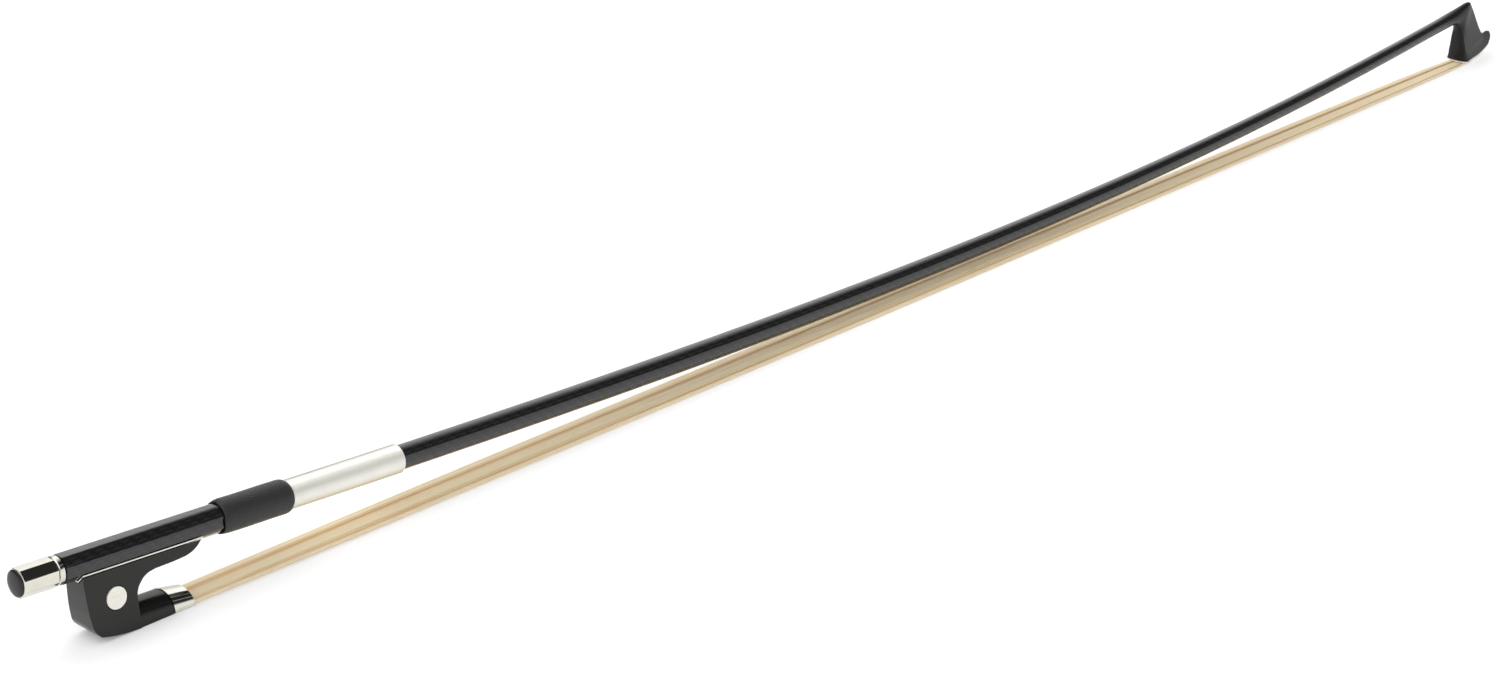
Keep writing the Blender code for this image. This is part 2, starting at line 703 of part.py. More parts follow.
def cut_hole_below(target, cutters, handle, name, distance, radius, depth):
    """A round hole square to the handle, from just under the stick down to a depth below its axis."""
    hole = add_object(name, cylinder_mesh(name, radius, -depth, -3.5 * MM, "Z", 24), cutters)
    boolean(target, place(mark_as_cutter(hole), handle, (distance, 0, 0)))


def cut_frog(frog, cutters, handle):
    channel_mesh = octagon_prism("cut stick channel", 10 * MM, 75 * MM, CHANNEL_FACE)
    channel = add_object("cut stick channel", channel_mesh, cutters)
    boolean(frog, place(mark_as_cutter(channel), handle))
    past_shoulder = FROG_SHOULDER + 1 * MM
    bed_half = SLIDE_HALF_WIDTH + GAP
    cut_box(frog, cutters, "cut slide bed", (BUTTON_END + SLIDE_REAR - GAP, -bed_half, -1 * MM),
            (BUTTON_END + past_shoulder, bed_half, SLIDE_TOP + GAP))
    channel_rings = []
    for distance, half in ((MORTISE_FRONT - HAIR_CHANNEL_OVERLAP, HAIR_CHANNEL_REAR_HALF),
                           (past_shoulder, HAIR_CHANNEL_FRONT_HALF)):
        x = BUTTON_END + distance
        low = SLIDE_TOP + GAP / 2
        channel_rings.append([(x, -half, low), (x, half, low),
                              (x, half, HAIR_CHANNEL_TOP), (x, -half, HAIR_CHANNEL_TOP)])
    hair_way = add_object("cut hair channel", loft_mesh("cut hair channel", channel_rings), cutters)
    boolean(frog, mark_as_cutter(hair_way))
    cut_box(frog, cutters, "cut frog mortise", (BUTTON_END + MORTISE_REAR, -MORTISE_HALF_WIDTH, -1 * MM),
            (BUTTON_END + MORTISE_FRONT, MORTISE_HALF_WIDTH, MORTISE_TOP))
    cut_hole_below(frog, cutters, handle, "cut post hole", EYELET_PLACE, POST_RADIUS + GAP, 10 * MM)
    for name, distance in PIN_PLACES.items():
        cut_hole_below(frog, cutters, handle, f"cut {name}", distance, PIN_RADIUS + GAP, PIN_END + GAP)
    for side in (-1, 1):
        depth = EYE_THICKNESS - EYE_PROUD + GAP
        pocket = cylinder_mesh("cut eye pocket", EYE_RADIUS + GAP, -depth, 1 * MM, "Z", 40)
        pocket_cut = add_object("cut eye pocket", pocket, cutters)
        boolean(frog, place_on_side(mark_as_cutter(pocket_cut), side))


def place_on_side(obj, side):
    """Stand an object on the frog's side at the eye's place, its Z axis facing out."""
    location = (BUTTON_END + EYE_PLACE, side * half_width_at(EYE_HEIGHT), EYE_HEIGHT)
    return place(obj, None, location, (-side * (math.pi / 2 - SIDE_LEAN), 0, 0))


def build_frog(parts, cutters, handle, black):
    frog = add_object("frog_body", frog_blank(), parts, black)
    bevel(frog, FROG_EDGE_ROUND, 3, 55)
    root_size = (NOSE_HALF_WIDTH, NOSE_ROOT_HEIGHT, 2.3)
    end_size = (NOSE_HALF_WIDTH, NOSE_END_HEIGHT, 2.3)
    nose = arch_prism("join frog nose", 36 * MM, FROG_SHOULDER, root_size, end_size, foot=NOSE_FOOT_ROUND)
    boolean(frog, mark_as_cutter(add_object("join frog nose", nose, cutters)), "UNION")
    inset = FERRULE_WALL + GAP
    half_width, height, fullness = FERRULE_REAR_SIZE
    tongue_root = (half_width - inset, height - inset - 0.2 * MM, fullness)
    tongue_end = (half_width - inset - 0.1 * MM, height - inset - 1.5 * MM, fullness)
    tongue = arch_prism("join ferrule tongue", 45 * MM, FROG_SHOULDER + FERRULE_TONGUE,
                        tongue_root, tongue_end, floor=TONGUE_FLOOR)
    boolean(frog, mark_as_cutter(add_object("join ferrule tongue", tongue, cutters)), "UNION")
    cut_frog(frog, cutters, handle)
    shade_round(frog, 35)
    return frog


def build_ferrule(parts, silver):
    shell = arch_prism("ferrule", FERRULE_REAR, FERRULE_FRONT, FERRULE_REAR_SIZE, FERRULE_FRONT_SIZE,
                       capped=False, foot=FERRULE_FOOT_ROUND, points=27)
    ferrule = add_object("ferrule", shell, parts, silver)
    # The sizes are the outer ones, and the shell's normals face in, so the wall grows inward
    wall = ferrule.modifiers.new("wall", "SOLIDIFY")
    wall.thickness = FERRULE_WALL
    wall.offset = 1
    wall.use_even_offset = True
    shade_round(ferrule, 35)
    return ferrule


def build_spread_wedge(parts, wood):
    """The thin wooden wedge that spreads the hair inside the ferrule."""
    rings = []
    for distance, half, low, high in ((50.6, 4.5, 2.50, 2.90), (56.4, 4.0, 1.72, 2.45)):
        x = BUTTON_END + distance * MM
        corners = ((-half, low), (half, low), (half, high), (-half, high))
        rings.append([(x, y * MM, z * MM) for y, z in corners])
    return add_object("spread_wedge", loft_mesh("spread_wedge", rings), parts, wood)


def build_slide(parts, black, pearl):
    """The pearl slide and the dovetailed base that it is glued to, under the frog."""
    rear = BUTTON_END + SLIDE_REAR
    front = BUTTON_END + FROG_SHOULDER - 0.2 * MM
    half = SLIDE_HALF_WIDTH
    base = box_mesh("slide_base", (rear, -half, PEARL_THICKNESS + GAP), (front, half, SLIDE_TOP))
    add_object("slide_base", base, parts, black)
    # The pearl's underside rises to the rear, where it meets the frog's raised heel
    outline = [(rear, PEARL_REAR_LIFT), (BUTTON_END + PEARL_FLAT_START, 0.0), (front, 0.0),
               (front, PEARL_THICKNESS), (rear, PEARL_THICKNESS)]
    sides = [[(x, y, z) for x, z in outline] for y in (-half, half)]
    add_object("pearl_slide", loft_mesh("pearl_slide", sides), parts, pearl)


def build_frog_fixings(parts, wood, thread):
    """The knot that ends the hair at the top of the frog's mortise, and the plug that wedges it in."""
    knot_half = FROG_KNOT_LENGTH / 2
    knot = cylinder_mesh("frog_hair_knot", FROG_KNOT_RADIUS, -knot_half, knot_half, "Y", 20)
    knot_object = add_object("frog_hair_knot", knot, parts, thread)
    knot_front = BUTTON_END + MORTISE_FRONT - FROG_KNOT_GAP
    knot_object.location = (knot_front - FROG_KNOT_RADIUS, 0, FROG_KNOT_HEIGHT)
    shade_round(knot_object)
    half = MORTISE_HALF_WIDTH - GAP
    rear = BUTTON_END + MORTISE_REAR + GAP
    plug = box_mesh("frog_plug", (rear, -half, SLIDE_TOP + GAP),
                    (rear + FROG_PLUG_LENGTH, half, MORTISE_TOP - FROG_KNOT_GAP))
    plug_object = add_object("frog_plug", plug, parts, wood)
    bevel(plug_object, PLUG_BEVEL, 1)


def build_underslide(parts, cutters, handle, silver):
    """A silver channel on the handle's three lower flats, with its pins."""
    side = UNDERSLIDE_HALF_WIDTH
    rear = []
    front = []
    for face, order in ((UNDERSLIDE_FACE, (1, -1)), (UNDERSLIDE_FACE + UNDERSLIDE_THICKNESS, (-1, 1))):
        corner = face * math.tan(math.pi / 8)
        lip = side - face * math.sqrt(2)
        fold = [(side, lip, UNDERSLIDE_LIP_FRONT), (corner, -face, UNDERSLIDE_FLAT_FRONT)]
        row = [(y * order[0], z, x) for y, z, x in fold] + [(y * order[1], z, x) for y, z, x in fold[::-1]]
        rear += [(UNDERSLIDE_REAR, y, z) for y, z, x in row]
        front += [(x, y, z) for y, z, x in row]
    strip = loft_mesh("underslide", [rear, front])
    underslide = add_object("underslide", strip, parts, silver)
    place(underslide, handle)
    through = 7 * MM
    cut_hole_below(underslide, cutters, handle, "cut slide post hole", EYELET_PLACE,
                   POST_RADIUS + GAP, through)
    for name, distance in PIN_PLACES.items():
        cut_hole_below(underslide, cutters, handle, f"cut slide {name}", distance, PIN_RADIUS + GAP, through)
        pin = cylinder_mesh(name, PIN_RADIUS, -PIN_END, -UNDERSLIDE_FACE, "Z", 16)
        pin_object = add_object(name, pin, parts, silver)
        shade_round(pin_object)
        place(pin_object, handle, (distance, 0, 0))


def build_eyes(parts, pearl):
    for name, side in (("pearl_eye_near", -1), ("pearl_eye_far", 1)):
        disc = cylinder_mesh(name, EYE_RADIUS, EYE_PROUD - EYE_THICKNESS, EYE_PROUD, "Z", 40)
        eye = add_object(name, disc, parts, pearl)
        shade_round(eye)
        place_on_side(eye, side)


def build_eyelet(parts, cutters, handle, brass):
    """The brass nut that rides on the screw, with its post down into the frog."""
    half_length = 2.6 * MM
    half_width = 2.1 * MM
    top = 3.0 * MM
    bottom = -4.0 * MM
    post_end = -9.6 * MM
    corner_round = 0.9 * MM
    block = box_mesh("eyelet", (-half_length, -half_width, bottom), (half_length, half_width, top))
    eyelet = add_object("eyelet", block, parts, brass)
    place(eyelet, handle, (EYELET_PLACE, 0, 0))
    bevel(eyelet, corner_round, 3, 80)
    post = cylinder_mesh("join eyelet post", POST_RADIUS, post_end, bottom + 1 * MM, "Z", 24)
    post_object = add_object("join eyelet post", post, cutters)
    boolean(eyelet, place(mark_as_cutter(post_object), handle, (EYELET_PLACE, 0, 0)), "UNION")
    bore = cylinder_mesh("cut eyelet bore", SCREW_RADIUS + GAP, -4 * MM, 4 * MM, "X", 24)
    bore_object = add_object("cut eyelet bore", bore, cutters)
    boolean(eyelet, place(mark_as_cutter(bore_object), handle, (EYELET_PLACE, 0, 0)))
    shade_round(eyelet)
    return eyelet


# Screw and button

def build_screw(parts, axis, steel):
    start = 3.8 * MM
    profile = [
        (start, 0), (start, SCREW_RADIUS - SCREW_CHAMFER), (start + SCREW_CHAMFER, SCREW_RADIUS),
        (SCREW_STEP - SCREW_CHAMFER, SCREW_RADIUS), (SCREW_STEP, SCREW_TIP_RADIUS),
        (SCREW_TIP - SCREW_CHAMFER, SCREW_TIP_RADIUS), (SCREW_TIP, SCREW_TIP_RADIUS - SCREW_CHAMFER),
        (SCREW_TIP, 0),
    ]
    place(turned_object("screw", profile, parts, steel, 24), axis)


def build_button(parts, cutters, axis, black, silver):
    """The core that grips the screw, the octagonal silver sleeve over it, and the round collar."""
    dome_steps = 4
    dome = []
    for i in range(dome_steps + 1):
        angle = math.pi / 2 * i / dome_steps
        dome.append((CORE_DOME * (1 - math.cos(angle)), CORE_RADIUS * math.sin(angle)))
    core_front = COLLAR_REAR - 0.15 * MM
    socket_radius = SCREW_RADIUS + GAP
    socket_rear = 3.5 * MM
    nipple_room = NIPPLE_RADIUS + GAP
    profile = dome + [
        (core_front, CORE_RADIUS), (core_front, CORE_NECK_RADIUS), (COLLAR_FRONT, CORE_NECK_RADIUS),
        (COLLAR_FRONT, nipple_room), (NIPPLE_REAR - GAP, nipple_room), (NIPPLE_REAR - GAP, socket_radius),
        (socket_rear, socket_radius), (socket_rear, 0),
    ]
    place(turned_object("button_core", profile, parts, black), axis)
    sleeve = add_object("button_sleeve", octagon_prism("button_sleeve", SLEEVE_REAR, SLEEVE_FRONT,
                                                       HANDLE_FLATS / 2), parts, silver)
    bevel(sleeve, 0.25 * MM, 2, 30)
    place(sleeve, axis)
    hole = add_object("cut sleeve bore", cylinder_mesh("cut sleeve bore", CORE_RADIUS + GAP,
                                                       -1 * MM, 14 * MM, "X", 32), cutters)
    boolean(sleeve, place(mark_as_cutter(hole), axis))
    edge = 0.25 * MM
    inner = CORE_NECK_RADIUS + GAP
    ring_profile = [
        (COLLAR_REAR, inner), (COLLAR_REAR, COLLAR_RADIUS - edge), (COLLAR_REAR + edge, COLLAR_RADIUS),
        (COLLAR_FRONT - edge, COLLAR_RADIUS), (COLLAR_FRONT, COLLAR_RADIUS - edge), (COLLAR_FRONT, inner),
        (COLLAR_REAR, inner),
    ]
    place(turned_object("button_collar", ring_profile, parts, silver), axis)


# Leather and winding

def build_leather(parts, handle, leather_black):
    """The thumb leather on the straight handle, with a rounded front end."""
    inner = stick_radius(LEATHER_START) * OCTAGON_CORNER + GAP
    thinnest = 0.12 * MM
    steps = 6
    profile = [(LEATHER_START, inner)]
    for i in range(steps + 1):
        angle = math.pi / 2 * i / steps
        drop = (LEATHER_RADIUS - inner - thinnest) * (1 - math.sin(angle))
        profile.append((LEATHER_START + LEATHER_REAR_ROUND * (1 - math.cos(angle)), LEATHER_RADIUS - drop))
    for i in range(steps + 1):
        angle = math.pi / 2 * i / steps
        drop = (LEATHER_RADIUS - inner - thinnest) * (1 - math.cos(angle))
        profile.append((LEATHER_END - LEATHER_FRONT_ROUND * (1 - math.sin(angle)), LEATHER_RADIUS - drop))
    profile += [(LEATHER_END, inner), (LEATHER_START, inner)]
    place(turned_object("thumb_leather", profile, parts, leather_black, 36), handle)


def build_winding(parts, silver_thread):
    """The silver wire winding as one smooth sleeve that follows the stick's curve."""
    steps = 10
    sides = 32
    edge = 0.15 * MM
    stations = []
    for i in range(steps + 1):
        distance = WINDING_START + (WINDING_END - WINDING_START) * i / steps
        stations.append((distance, WINDING_RADIUS - (edge if i in (0, steps) else 0)))
    rings = [round_ring(distance, radius, sides) for distance, radius in stations]
    for distance, radius in stations[::-1]:
        rings.append(round_ring(distance, stick_radius(distance) + GAP, sides))
    bm = bmesh.new()
    rows = skin_rings(bm, rings)
    for i in range(sides):
        j = (i + 1) % sides
        bm.faces.new((rows[-1][i], rows[-1][j], rows[0][j], rows[0][i]))
    winding = add_object("silver_winding", mesh_from_bmesh("silver_winding", bm), parts, silver_thread)
    shade_round(winding, 50)


def main():
    clear_scene()
    parts = make_collection(COLLECTION_NAME)
    cutters = make_collection(CUTTER_COLLECTION_NAME)

    carbon = make_material("gloss black carbon", (0.012, 0.012, 0.013), 0.18)
    black = make_material("satin black frog", (0.014, 0.013, 0.013), 0.28)
    silver = make_material("polished silver", (0.88, 0.87, 0.84), 0.12, 1.0)
    silver_thread = make_material("silver thread", (0.86, 0.85, 0.82), 0.3, 1.0)
    steel = make_material("bright steel", (0.62, 0.62, 0.63), 0.25, 1.0)
    brass = make_material("brass", (0.80, 0.60, 0.28), 0.3, 1.0)
    pearl = make_material("mother of pearl", (0.85, 0.84, 0.80), 0.15)
    ivory_white = make_material("white tip plate", (0.90, 0.89, 0.86), 0.3)
    leather_black = make_material("black leather", (0.016, 0.014, 0.013), 0.55)
    horsehair = make_material("bleached horsehair", (0.78, 0.68, 0.50), 0.45)
    wood = make_material("maple plug", (0.66, 0.50, 0.32), 0.6)
    thread = make_material("binding thread", (0.60, 0.12, 0.10), 0.7)

    # The handle's axis, the line on which the screw turns and the frog slides
    lean = -math.atan(HANDLE_SLOPE)
    handle = bpy.data.objects.new("handle axis", None)
    parts.objects.link(handle)
    place(handle, None, (BUTTON_END, 0, HANDLE_AXIS_HEIGHT), (0, lean, 0))
    screw_axis = bpy.data.objects.new("screw axis", None)
    parts.objects.link(screw_axis)
    place(screw_axis, None, (BUTTON_END, 0, HANDLE_AXIS_HEIGHT), (0, lean, 0))

    build_stick(parts, cutters, handle, carbon)
    build_tip_plate(parts, cutters, ivory_white)
    build_head_fixings(parts, wood, thread)
    build_hair(parts, horsehair)
    build_leather(parts, handle, leather_black)
    build_winding(parts, silver_thread)
    build_frog(parts, cutters, handle, black)
    build_ferrule(parts, silver)
    build_spread_wedge(parts, wood)
    build_slide(parts, black, pearl)
    build_frog_fixings(parts, wood, thread)
    build_underslide(parts, cutters, handle, silver)
    build_eyes(parts, pearl)
    build_eyelet(parts, cutters, handle, brass)
    build_screw(parts, screw_axis, steel)
    build_button(parts, cutters, screw_axis, black, silver)


main()
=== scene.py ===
# Violin bow: finishes, hair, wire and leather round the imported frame.
# Metres, X from the button to the tip, Z up, the bow standing hair down on the floor.
import math

import bpy
import numpy as np
from mathutils import Matrix, Vector


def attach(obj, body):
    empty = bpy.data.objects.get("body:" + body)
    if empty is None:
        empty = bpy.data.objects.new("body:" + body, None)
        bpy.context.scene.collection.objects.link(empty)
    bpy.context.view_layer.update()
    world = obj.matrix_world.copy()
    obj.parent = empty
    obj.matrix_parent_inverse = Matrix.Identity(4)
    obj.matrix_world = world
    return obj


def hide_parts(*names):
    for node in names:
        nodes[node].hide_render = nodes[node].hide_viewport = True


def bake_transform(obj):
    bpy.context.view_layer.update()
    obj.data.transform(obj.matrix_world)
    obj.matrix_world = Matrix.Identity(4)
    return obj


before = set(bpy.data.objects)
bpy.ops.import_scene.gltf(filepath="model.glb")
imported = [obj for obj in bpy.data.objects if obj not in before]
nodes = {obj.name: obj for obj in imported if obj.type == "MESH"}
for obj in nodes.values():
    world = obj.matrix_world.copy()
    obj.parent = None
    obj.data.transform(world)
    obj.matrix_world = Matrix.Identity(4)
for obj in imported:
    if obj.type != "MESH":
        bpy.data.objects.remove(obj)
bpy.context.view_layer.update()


mm = 0.001
buttonEnd = -0.3725  # x of the button's end; distances along the bow start there
print("frame loaded with", len(nodes), "nodes")


# The stick's centre line, as in the CAD
centreLine = {
    "axisHeight": 26.6 * mm,
    "slope": -0.067,
    "camberStart": 100 * mm,
    "camberEnd": 716 * mm,
    "endHeight": 21.2 * mm,
    "endSlope": 0.105,
    "step": 0.5 * mm,  # half the length over which a slope is measured
}


def cubicTerms():
    # height = h0 + slope * run * t + c2 * t^2 + c3 * t^3, meeting both end heights and slopes
    c = centreLine
    run = c["camberEnd"] - c["camberStart"]
    h0 = c["axisHeight"] + c["slope"] * c["camberStart"]
    rise = c["endHeight"] - h0
    c2 = 3 * rise - run * (2 * c["slope"] + c["endSlope"])
    c3 = run * (c["slope"] + c["endSlope"]) - 2 * rise
    return run, h0, c2, c3


def centreHeight(distance):
    # straight handle below t = 0, the cubic above it, where t runs over the cambered part
    run, h0, c2, c3 = cubicTerms()
    t = (distance - centreLine["camberStart"]) / run
    bent = np.clip(t, 0, 1)
    return h0 + centreLine["slope"] * run * t + c2 * bent**2 + c3 * bent**3


def centreFrame(distance):
    # points on the centre line, and the unit vectors along it and up from it
    step = centreLine["step"]
    slope = (centreHeight(distance + step) - centreHeight(distance - step)) / (2 * step)
    flat = np.zeros_like(distance)
    centre = np.stack([buttonEnd + distance, flat, centreHeight(distance)], -1)
    length = np.hypot(1, slope)
    along = np.stack([1 / length, flat, slope / length], -1)
    up = np.stack([-slope / length, flat, 1 / length], -1)
    return centre, along, up


forward = np.array([1.0, 0.0, 0.0])
sideways = np.array([0.0, 1.0, 0.0])
upward = np.array([0.0, 0.0, 1.0])


# Meshes from grids of points
def fullTurn(count):
    return np.linspace(0, 2 * np.pi, count, endpoint=False)


def waves(value, terms):
    # the sum of size * sin(value * rate + phase)
    return sum(size * np.sin(value * rate + phase) for size, rate, phase in terms)


def gridObject(name, rings, closedAlong=False, values=None):
    # rings[tube, station, side] are points; neighbours along and round join into four-sided
    # faces, and an open tube gets a cap at each end
    tubes, stations, sides = rings.shape[:3]
    index = np.arange(tubes * stations * sides).reshape(tubes, stations, sides)
    here = index if closedAlong else index[:, :-1]
    ahead = np.roll(index, -1, 1) if closedAlong else index[:, 1:]
    quads = np.stack([here, np.roll(here, -1, 2), np.roll(ahead, -1, 2), ahead], -1).reshape(-1, 4)
    points = rings.reshape(-1, 3)
    corner = points[quads]
    volume = np.einsum("ij,ij->", np.cross(corner[:, 0], corner[:, 1]), corner[:, 2])
    volume += np.einsum("ij,ij->", np.cross(corner[:, 0], corner[:, 2]), corner[:, 3])
    faces = quads.tolist()
    if not closedAlong:
        faces += index[:, 0, ::-1].tolist() + index[:, -1].tolist()
    if volume < 0:
        faces = [face[::-1] for face in faces]
    mesh = bpy.data.meshes.new(name)
    mesh.from_pydata(points.tolist(), [], faces)
    for label, value in (values or {}).items():
        perPoint = np.broadcast_to(value, index.shape).astype(np.float32).ravel()
        attribute = mesh.attributes.new(label, "FLOAT", "POINT")
        attribute.data.foreach_set("value", perPoint)
    mesh.shade_smooth()
    obj = bpy.data.objects.new(name, mesh)
    bpy.context.scene.collection.objects.link(obj)
    return obj


def coilRings(centre, along, outward, aside, coilRadius, wireRadius, angle, sides):
    # a round wire carried round a coil: axis point + radial * (coil radius + wire radius * cos)
    # + axis direction * wire radius * sin
    radial = outward * np.cos(angle)[:, None] + aside * np.sin(angle)[:, None]
    turn = fullTurn(sides)
    reach = coilRadius + wireRadius * np.cos(turn)
    rings = centre[:, None] + radial[:, None] * reach[None, :, None]
    rings = rings + along[:, None] * (wireRadius * np.sin(turn))[None, :, None]
    return rings[None]


# Materials
noiseSpan = (0.3, 0.7)  # where nearly all of a noise texture's values lie


def addNode(tree, kind, inputs=None, **settings):
    node = tree.nodes.new("ShaderNode" + kind)
    for key, value in settings.items():
        setattr(node, key, value)
    for key, value in (inputs or {}).items():
        if isinstance(value, bpy.types.NodeSocket):
            tree.links.new(value, node.inputs[key])
        else:
            node.inputs[key].default_value = value
    return node


def sums(tree, operation, first, second=0.0, third=0.0):
    node = addNode(tree, "Math", {0: first, 1: second, 2: third}, operation=operation)
    return node.outputs[0]


def mix(tree, share, first, second, kind="FLOAT"):
    # a Mix node has sockets of its own for numbers and for colours
    a, b, mixed = (6, 7, 2) if kind == "RGBA" else (2, 3, 0)
    node = addNode(tree, "Mix", {0: share, a: first, b: second}, data_type=kind)
    return node.outputs[mixed]


def makeMaterial(name, color, roughness, **sockets):
    material = bpy.data.materials.new(name)
    material.use_nodes = True
    tree = material.node_tree
    shader = tree.nodes["Principled BSDF"]
    shader.inputs["Base Color"].default_value = (*color, 1)
    shader.inputs["Roughness"].default_value = roughness
    for socket, value in sockets.items():
        shader.inputs[socket.replace("_", " ")].default_value = value
    material.diffuse_color = (*color, 1)
    return material, tree, shader


def objectSpace(tree, scale=(1, 1, 1)):
    place = addNode(tree, "TexCoord").outputs["Object"]
    return addNode(tree, "Mapping", {"Vector": place, "Scale": scale}).outputs[0]


def noise(tree, vector, scale, detail=3.0, roughness=0.5, distortion=0.0):
    inputs = {"Vector": vector, "Scale": scale, "Detail": detail, "Roughness": roughness}
    return addNode(tree, "TexNoise", {**inputs, "Distortion": distortion}).outputs[0]


def ramp(tree, value, stops):
    node = addNode(tree, "ValToRGB", {0: value})
    elements = node.color_ramp.elements
    while len(elements) < len(stops):
        elements.new(0.5)
    for element, (place, color) in zip(elements, stops):
        element.position = place
        element.color = (*color, 1)
    return node.outputs[0]


def spread(tree, value, low, high, toLow, toHigh, kind="LINEAR"):
    inputs = {0: value, 1: low, 2: high, 3: toLow, 4: toHigh}
    return addNode(tree, "MapRange", inputs, interpolation_type=kind).outputs[0]


def spreadNoise(tree, value, toLow, toHigh):
    return spread(tree, value, *noiseSpan, toLow, toHigh)


def readAttribute(tree, name):
    return addNode(tree, "Attribute", attribute_name=name).outputs["Fac"]


def bump(tree, shader, height, distance, strength=1.0, socket="Normal"):
    node = addNode(tree, "Bump", {"Height": height, "Distance": distance, "Strength": strength})
    tree.links.new(node.outputs[0], shader.inputs[socket])


def dress(material, *names):
    for name in names:
        nodes[name].material_slots[0].material = material


carbon = {
    "cell": 1.15 * mm,  # width of one tow
    "around": 24,  # tows round the stick, a multiple of four so that the twill closes
    # dark and light bound the weave's painted sheen; the tows themselves are one black
    "dark": (0.0035, 0.0035, 0.0038),
    "light": (0.019, 0.019, 0.0185),
    "crosswiseSheen": 0.45,  # painted sheen: brightness of a crosswise tow, where a lengthwise one has 1
    "fibreSheen": (0.75, 1.2),  # painted sheen: brightness of the darkest and the lightest fibres
    "roughness": (0.42, 0.24),  # of the darkest and the lightest tows
    "towHeight": 0.02 * mm,
    "waveHeight": 0.03 * mm,
    "headStart": 0.343,  # the moulded head is plain satin beyond this x
    "headFade": 0.012,
    "headShade": 0.5,
    "headCoat": 0.2,
}


def carbonMaterial():
    c = carbon
    material, tree, shader = makeMaterial(
        "carbonWeave", c["light"], roughness=0.3, Coat_Weight=1.0, Coat_Roughness=0.03,
        Coat_IOR=1.5, Specular_IOR_Level=0.1)
    place = addNode(tree, "SeparateXYZ", {0: addNode(tree, "TexCoord").outputs["Object"]})
    x, y, z = place.outputs
    # the angle round the stick's centre line, whose height is the same cubic as in centreHeight
    run, h0, c2, c3 = cubicTerms()
    start = buttonEnd + centreLine["camberStart"]
    t = sums(tree, "DIVIDE", sums(tree, "SUBTRACT", x, start), run)
    bent = addNode(tree, "Clamp", {0: t}).outputs[0]
    square = sums(tree, "MULTIPLY", bent, bent)
    cube = sums(tree, "MULTIPLY", square, bent)
    height = sums(tree, "MULTIPLY_ADD", t, centreLine["slope"] * run, h0)
    height = sums(tree, "MULTIPLY_ADD", square, c2, height)
    height = sums(tree, "MULTIPLY_ADD", cube, c3, height)
    angle = sums(tree, "ARCTAN2", y, sums(tree, "SUBTRACT", z, height))
    across = sums(tree, "MULTIPLY", angle, c["around"] / (2 * math.pi))
    lengthwise = sums(tree, "DIVIDE", x, c["cell"])
    # two over, two under: a cell's lengthwise tow is on top where its column and row add up to
    # 0 or 1 after division by four
    cell = sums(tree, "ADD", sums(tree, "FLOOR", across), sums(tree, "FLOOR", lengthwise))
    over = sums(tree, "LESS_THAN", sums(tree, "FLOORED_MODULO", cell, 4.0), 2.0)
    # the colour is painted sheen: each tow is painted brightest on its crown, and a crosswise tow
    # darker than a lengthwise one
    crowns = [sums(tree, "SINE", sums(tree, "MULTIPLY", sums(tree, "FRACT", way), math.pi))
              for way in (lengthwise, across)]
    crown = mix(tree, over, *crowns)
    shade = sums(tree, "MULTIPLY", crown, spread(tree, over, 0, 1, c["crosswiseSheen"], 1.0))
    fibre = noise(tree, objectSpace(tree, (1, 12, 12)), scale=2500, detail=2)
    shade = sums(tree, "MULTIPLY", shade, spreadNoise(tree, fibre, *c["fibreSheen"]))
    woven = spread(tree, x, c["headStart"] - c["headFade"], c["headStart"], 1, 0)
    tree.links.new(spread(tree, woven, 0, 1, c["headCoat"], 1), shader.inputs["Coat Weight"])
    shade = mix(tree, woven, c["headShade"], shade)
    color = ramp(tree, shade, [(0.0, c["dark"]), (1.0, c["light"])])
    tree.links.new(color, shader.inputs["Base Color"])
    tree.links.new(spread(tree, shade, 0, 1, *c["roughness"]), shader.inputs["Roughness"])
    bump(tree, shader, sums(tree, "MULTIPLY", crown, woven), c["towHeight"], strength=0.6)
    # long soft waves in the clear coat, as polishing leaves them
    polish = noise(tree, objectSpace(tree, (0.25, 1, 1)), scale=120, detail=2)
    bump(tree, shader, polish, c["waveHeight"], strength=0.5, socket="Coat Normal")
    return material


blackPolish = {
    "color": (0.0078, 0.0077, 0.0068),
    "worn": (0.022, 0.0215, 0.021),
    "edge": 0.35 * mm,
    "edgeFacing": (0.995, 0.93),  # rounded normal against true one, where wear starts and is full
    "wearSpan": (0.42, 0.62),
    "mostWear": 0.8,
    "roughness": (0.20, 0.27),
    "scratchHeight": 0.002 * mm,
}


def blackMaterial():
    b = blackPolish
    material, tree, shader = makeMaterial("blackFrog", b["color"], roughness=0.25, IOR=1.4)
    smudge = noise(tree, objectSpace(tree), scale=260, detail=4, roughness=0.6)
    scratches = noise(tree, objectSpace(tree, (1, 6, 9)), scale=1800, detail=4, roughness=0.7)
    # an edge is where the rounded normal leaves the true one
    rounded = addNode(tree, "Bevel", {0: b["edge"]}, samples=4).outputs[0]
    normal = addNode(tree, "NewGeometry").outputs["Normal"]
    facing = addNode(tree, "VectorMath", {0: rounded, 1: normal}, operation="DOT_PRODUCT")
    edge = spread(tree, facing.outputs["Value"], *b["edgeFacing"], 0, 1)
    wear = spread(tree, scratches, *b["wearSpan"], 0, b["mostWear"])
    worn = sums(tree, "MULTIPLY", edge, wear)
    color = ramp(tree, worn, [(0.0, b["color"]), (1.0, b["worn"])])
    tree.links.new(color, shader.inputs["Base Color"])
    tree.links.new(spreadNoise(tree, smudge, *b["roughness"]), shader.inputs["Roughness"])
    bump(tree, shader, scratches, b["scratchHeight"], strength=0.25)
    return material


silver = {
    "color": (0.70, 0.69, 0.625),
    "tarnish": (0.65, 0.63, 0.55),
    "tarnishSpan": (0.32, 0.62),
    "roughness": (0.03, 0.08),
    "brushHeight": 0.001 * mm,
}


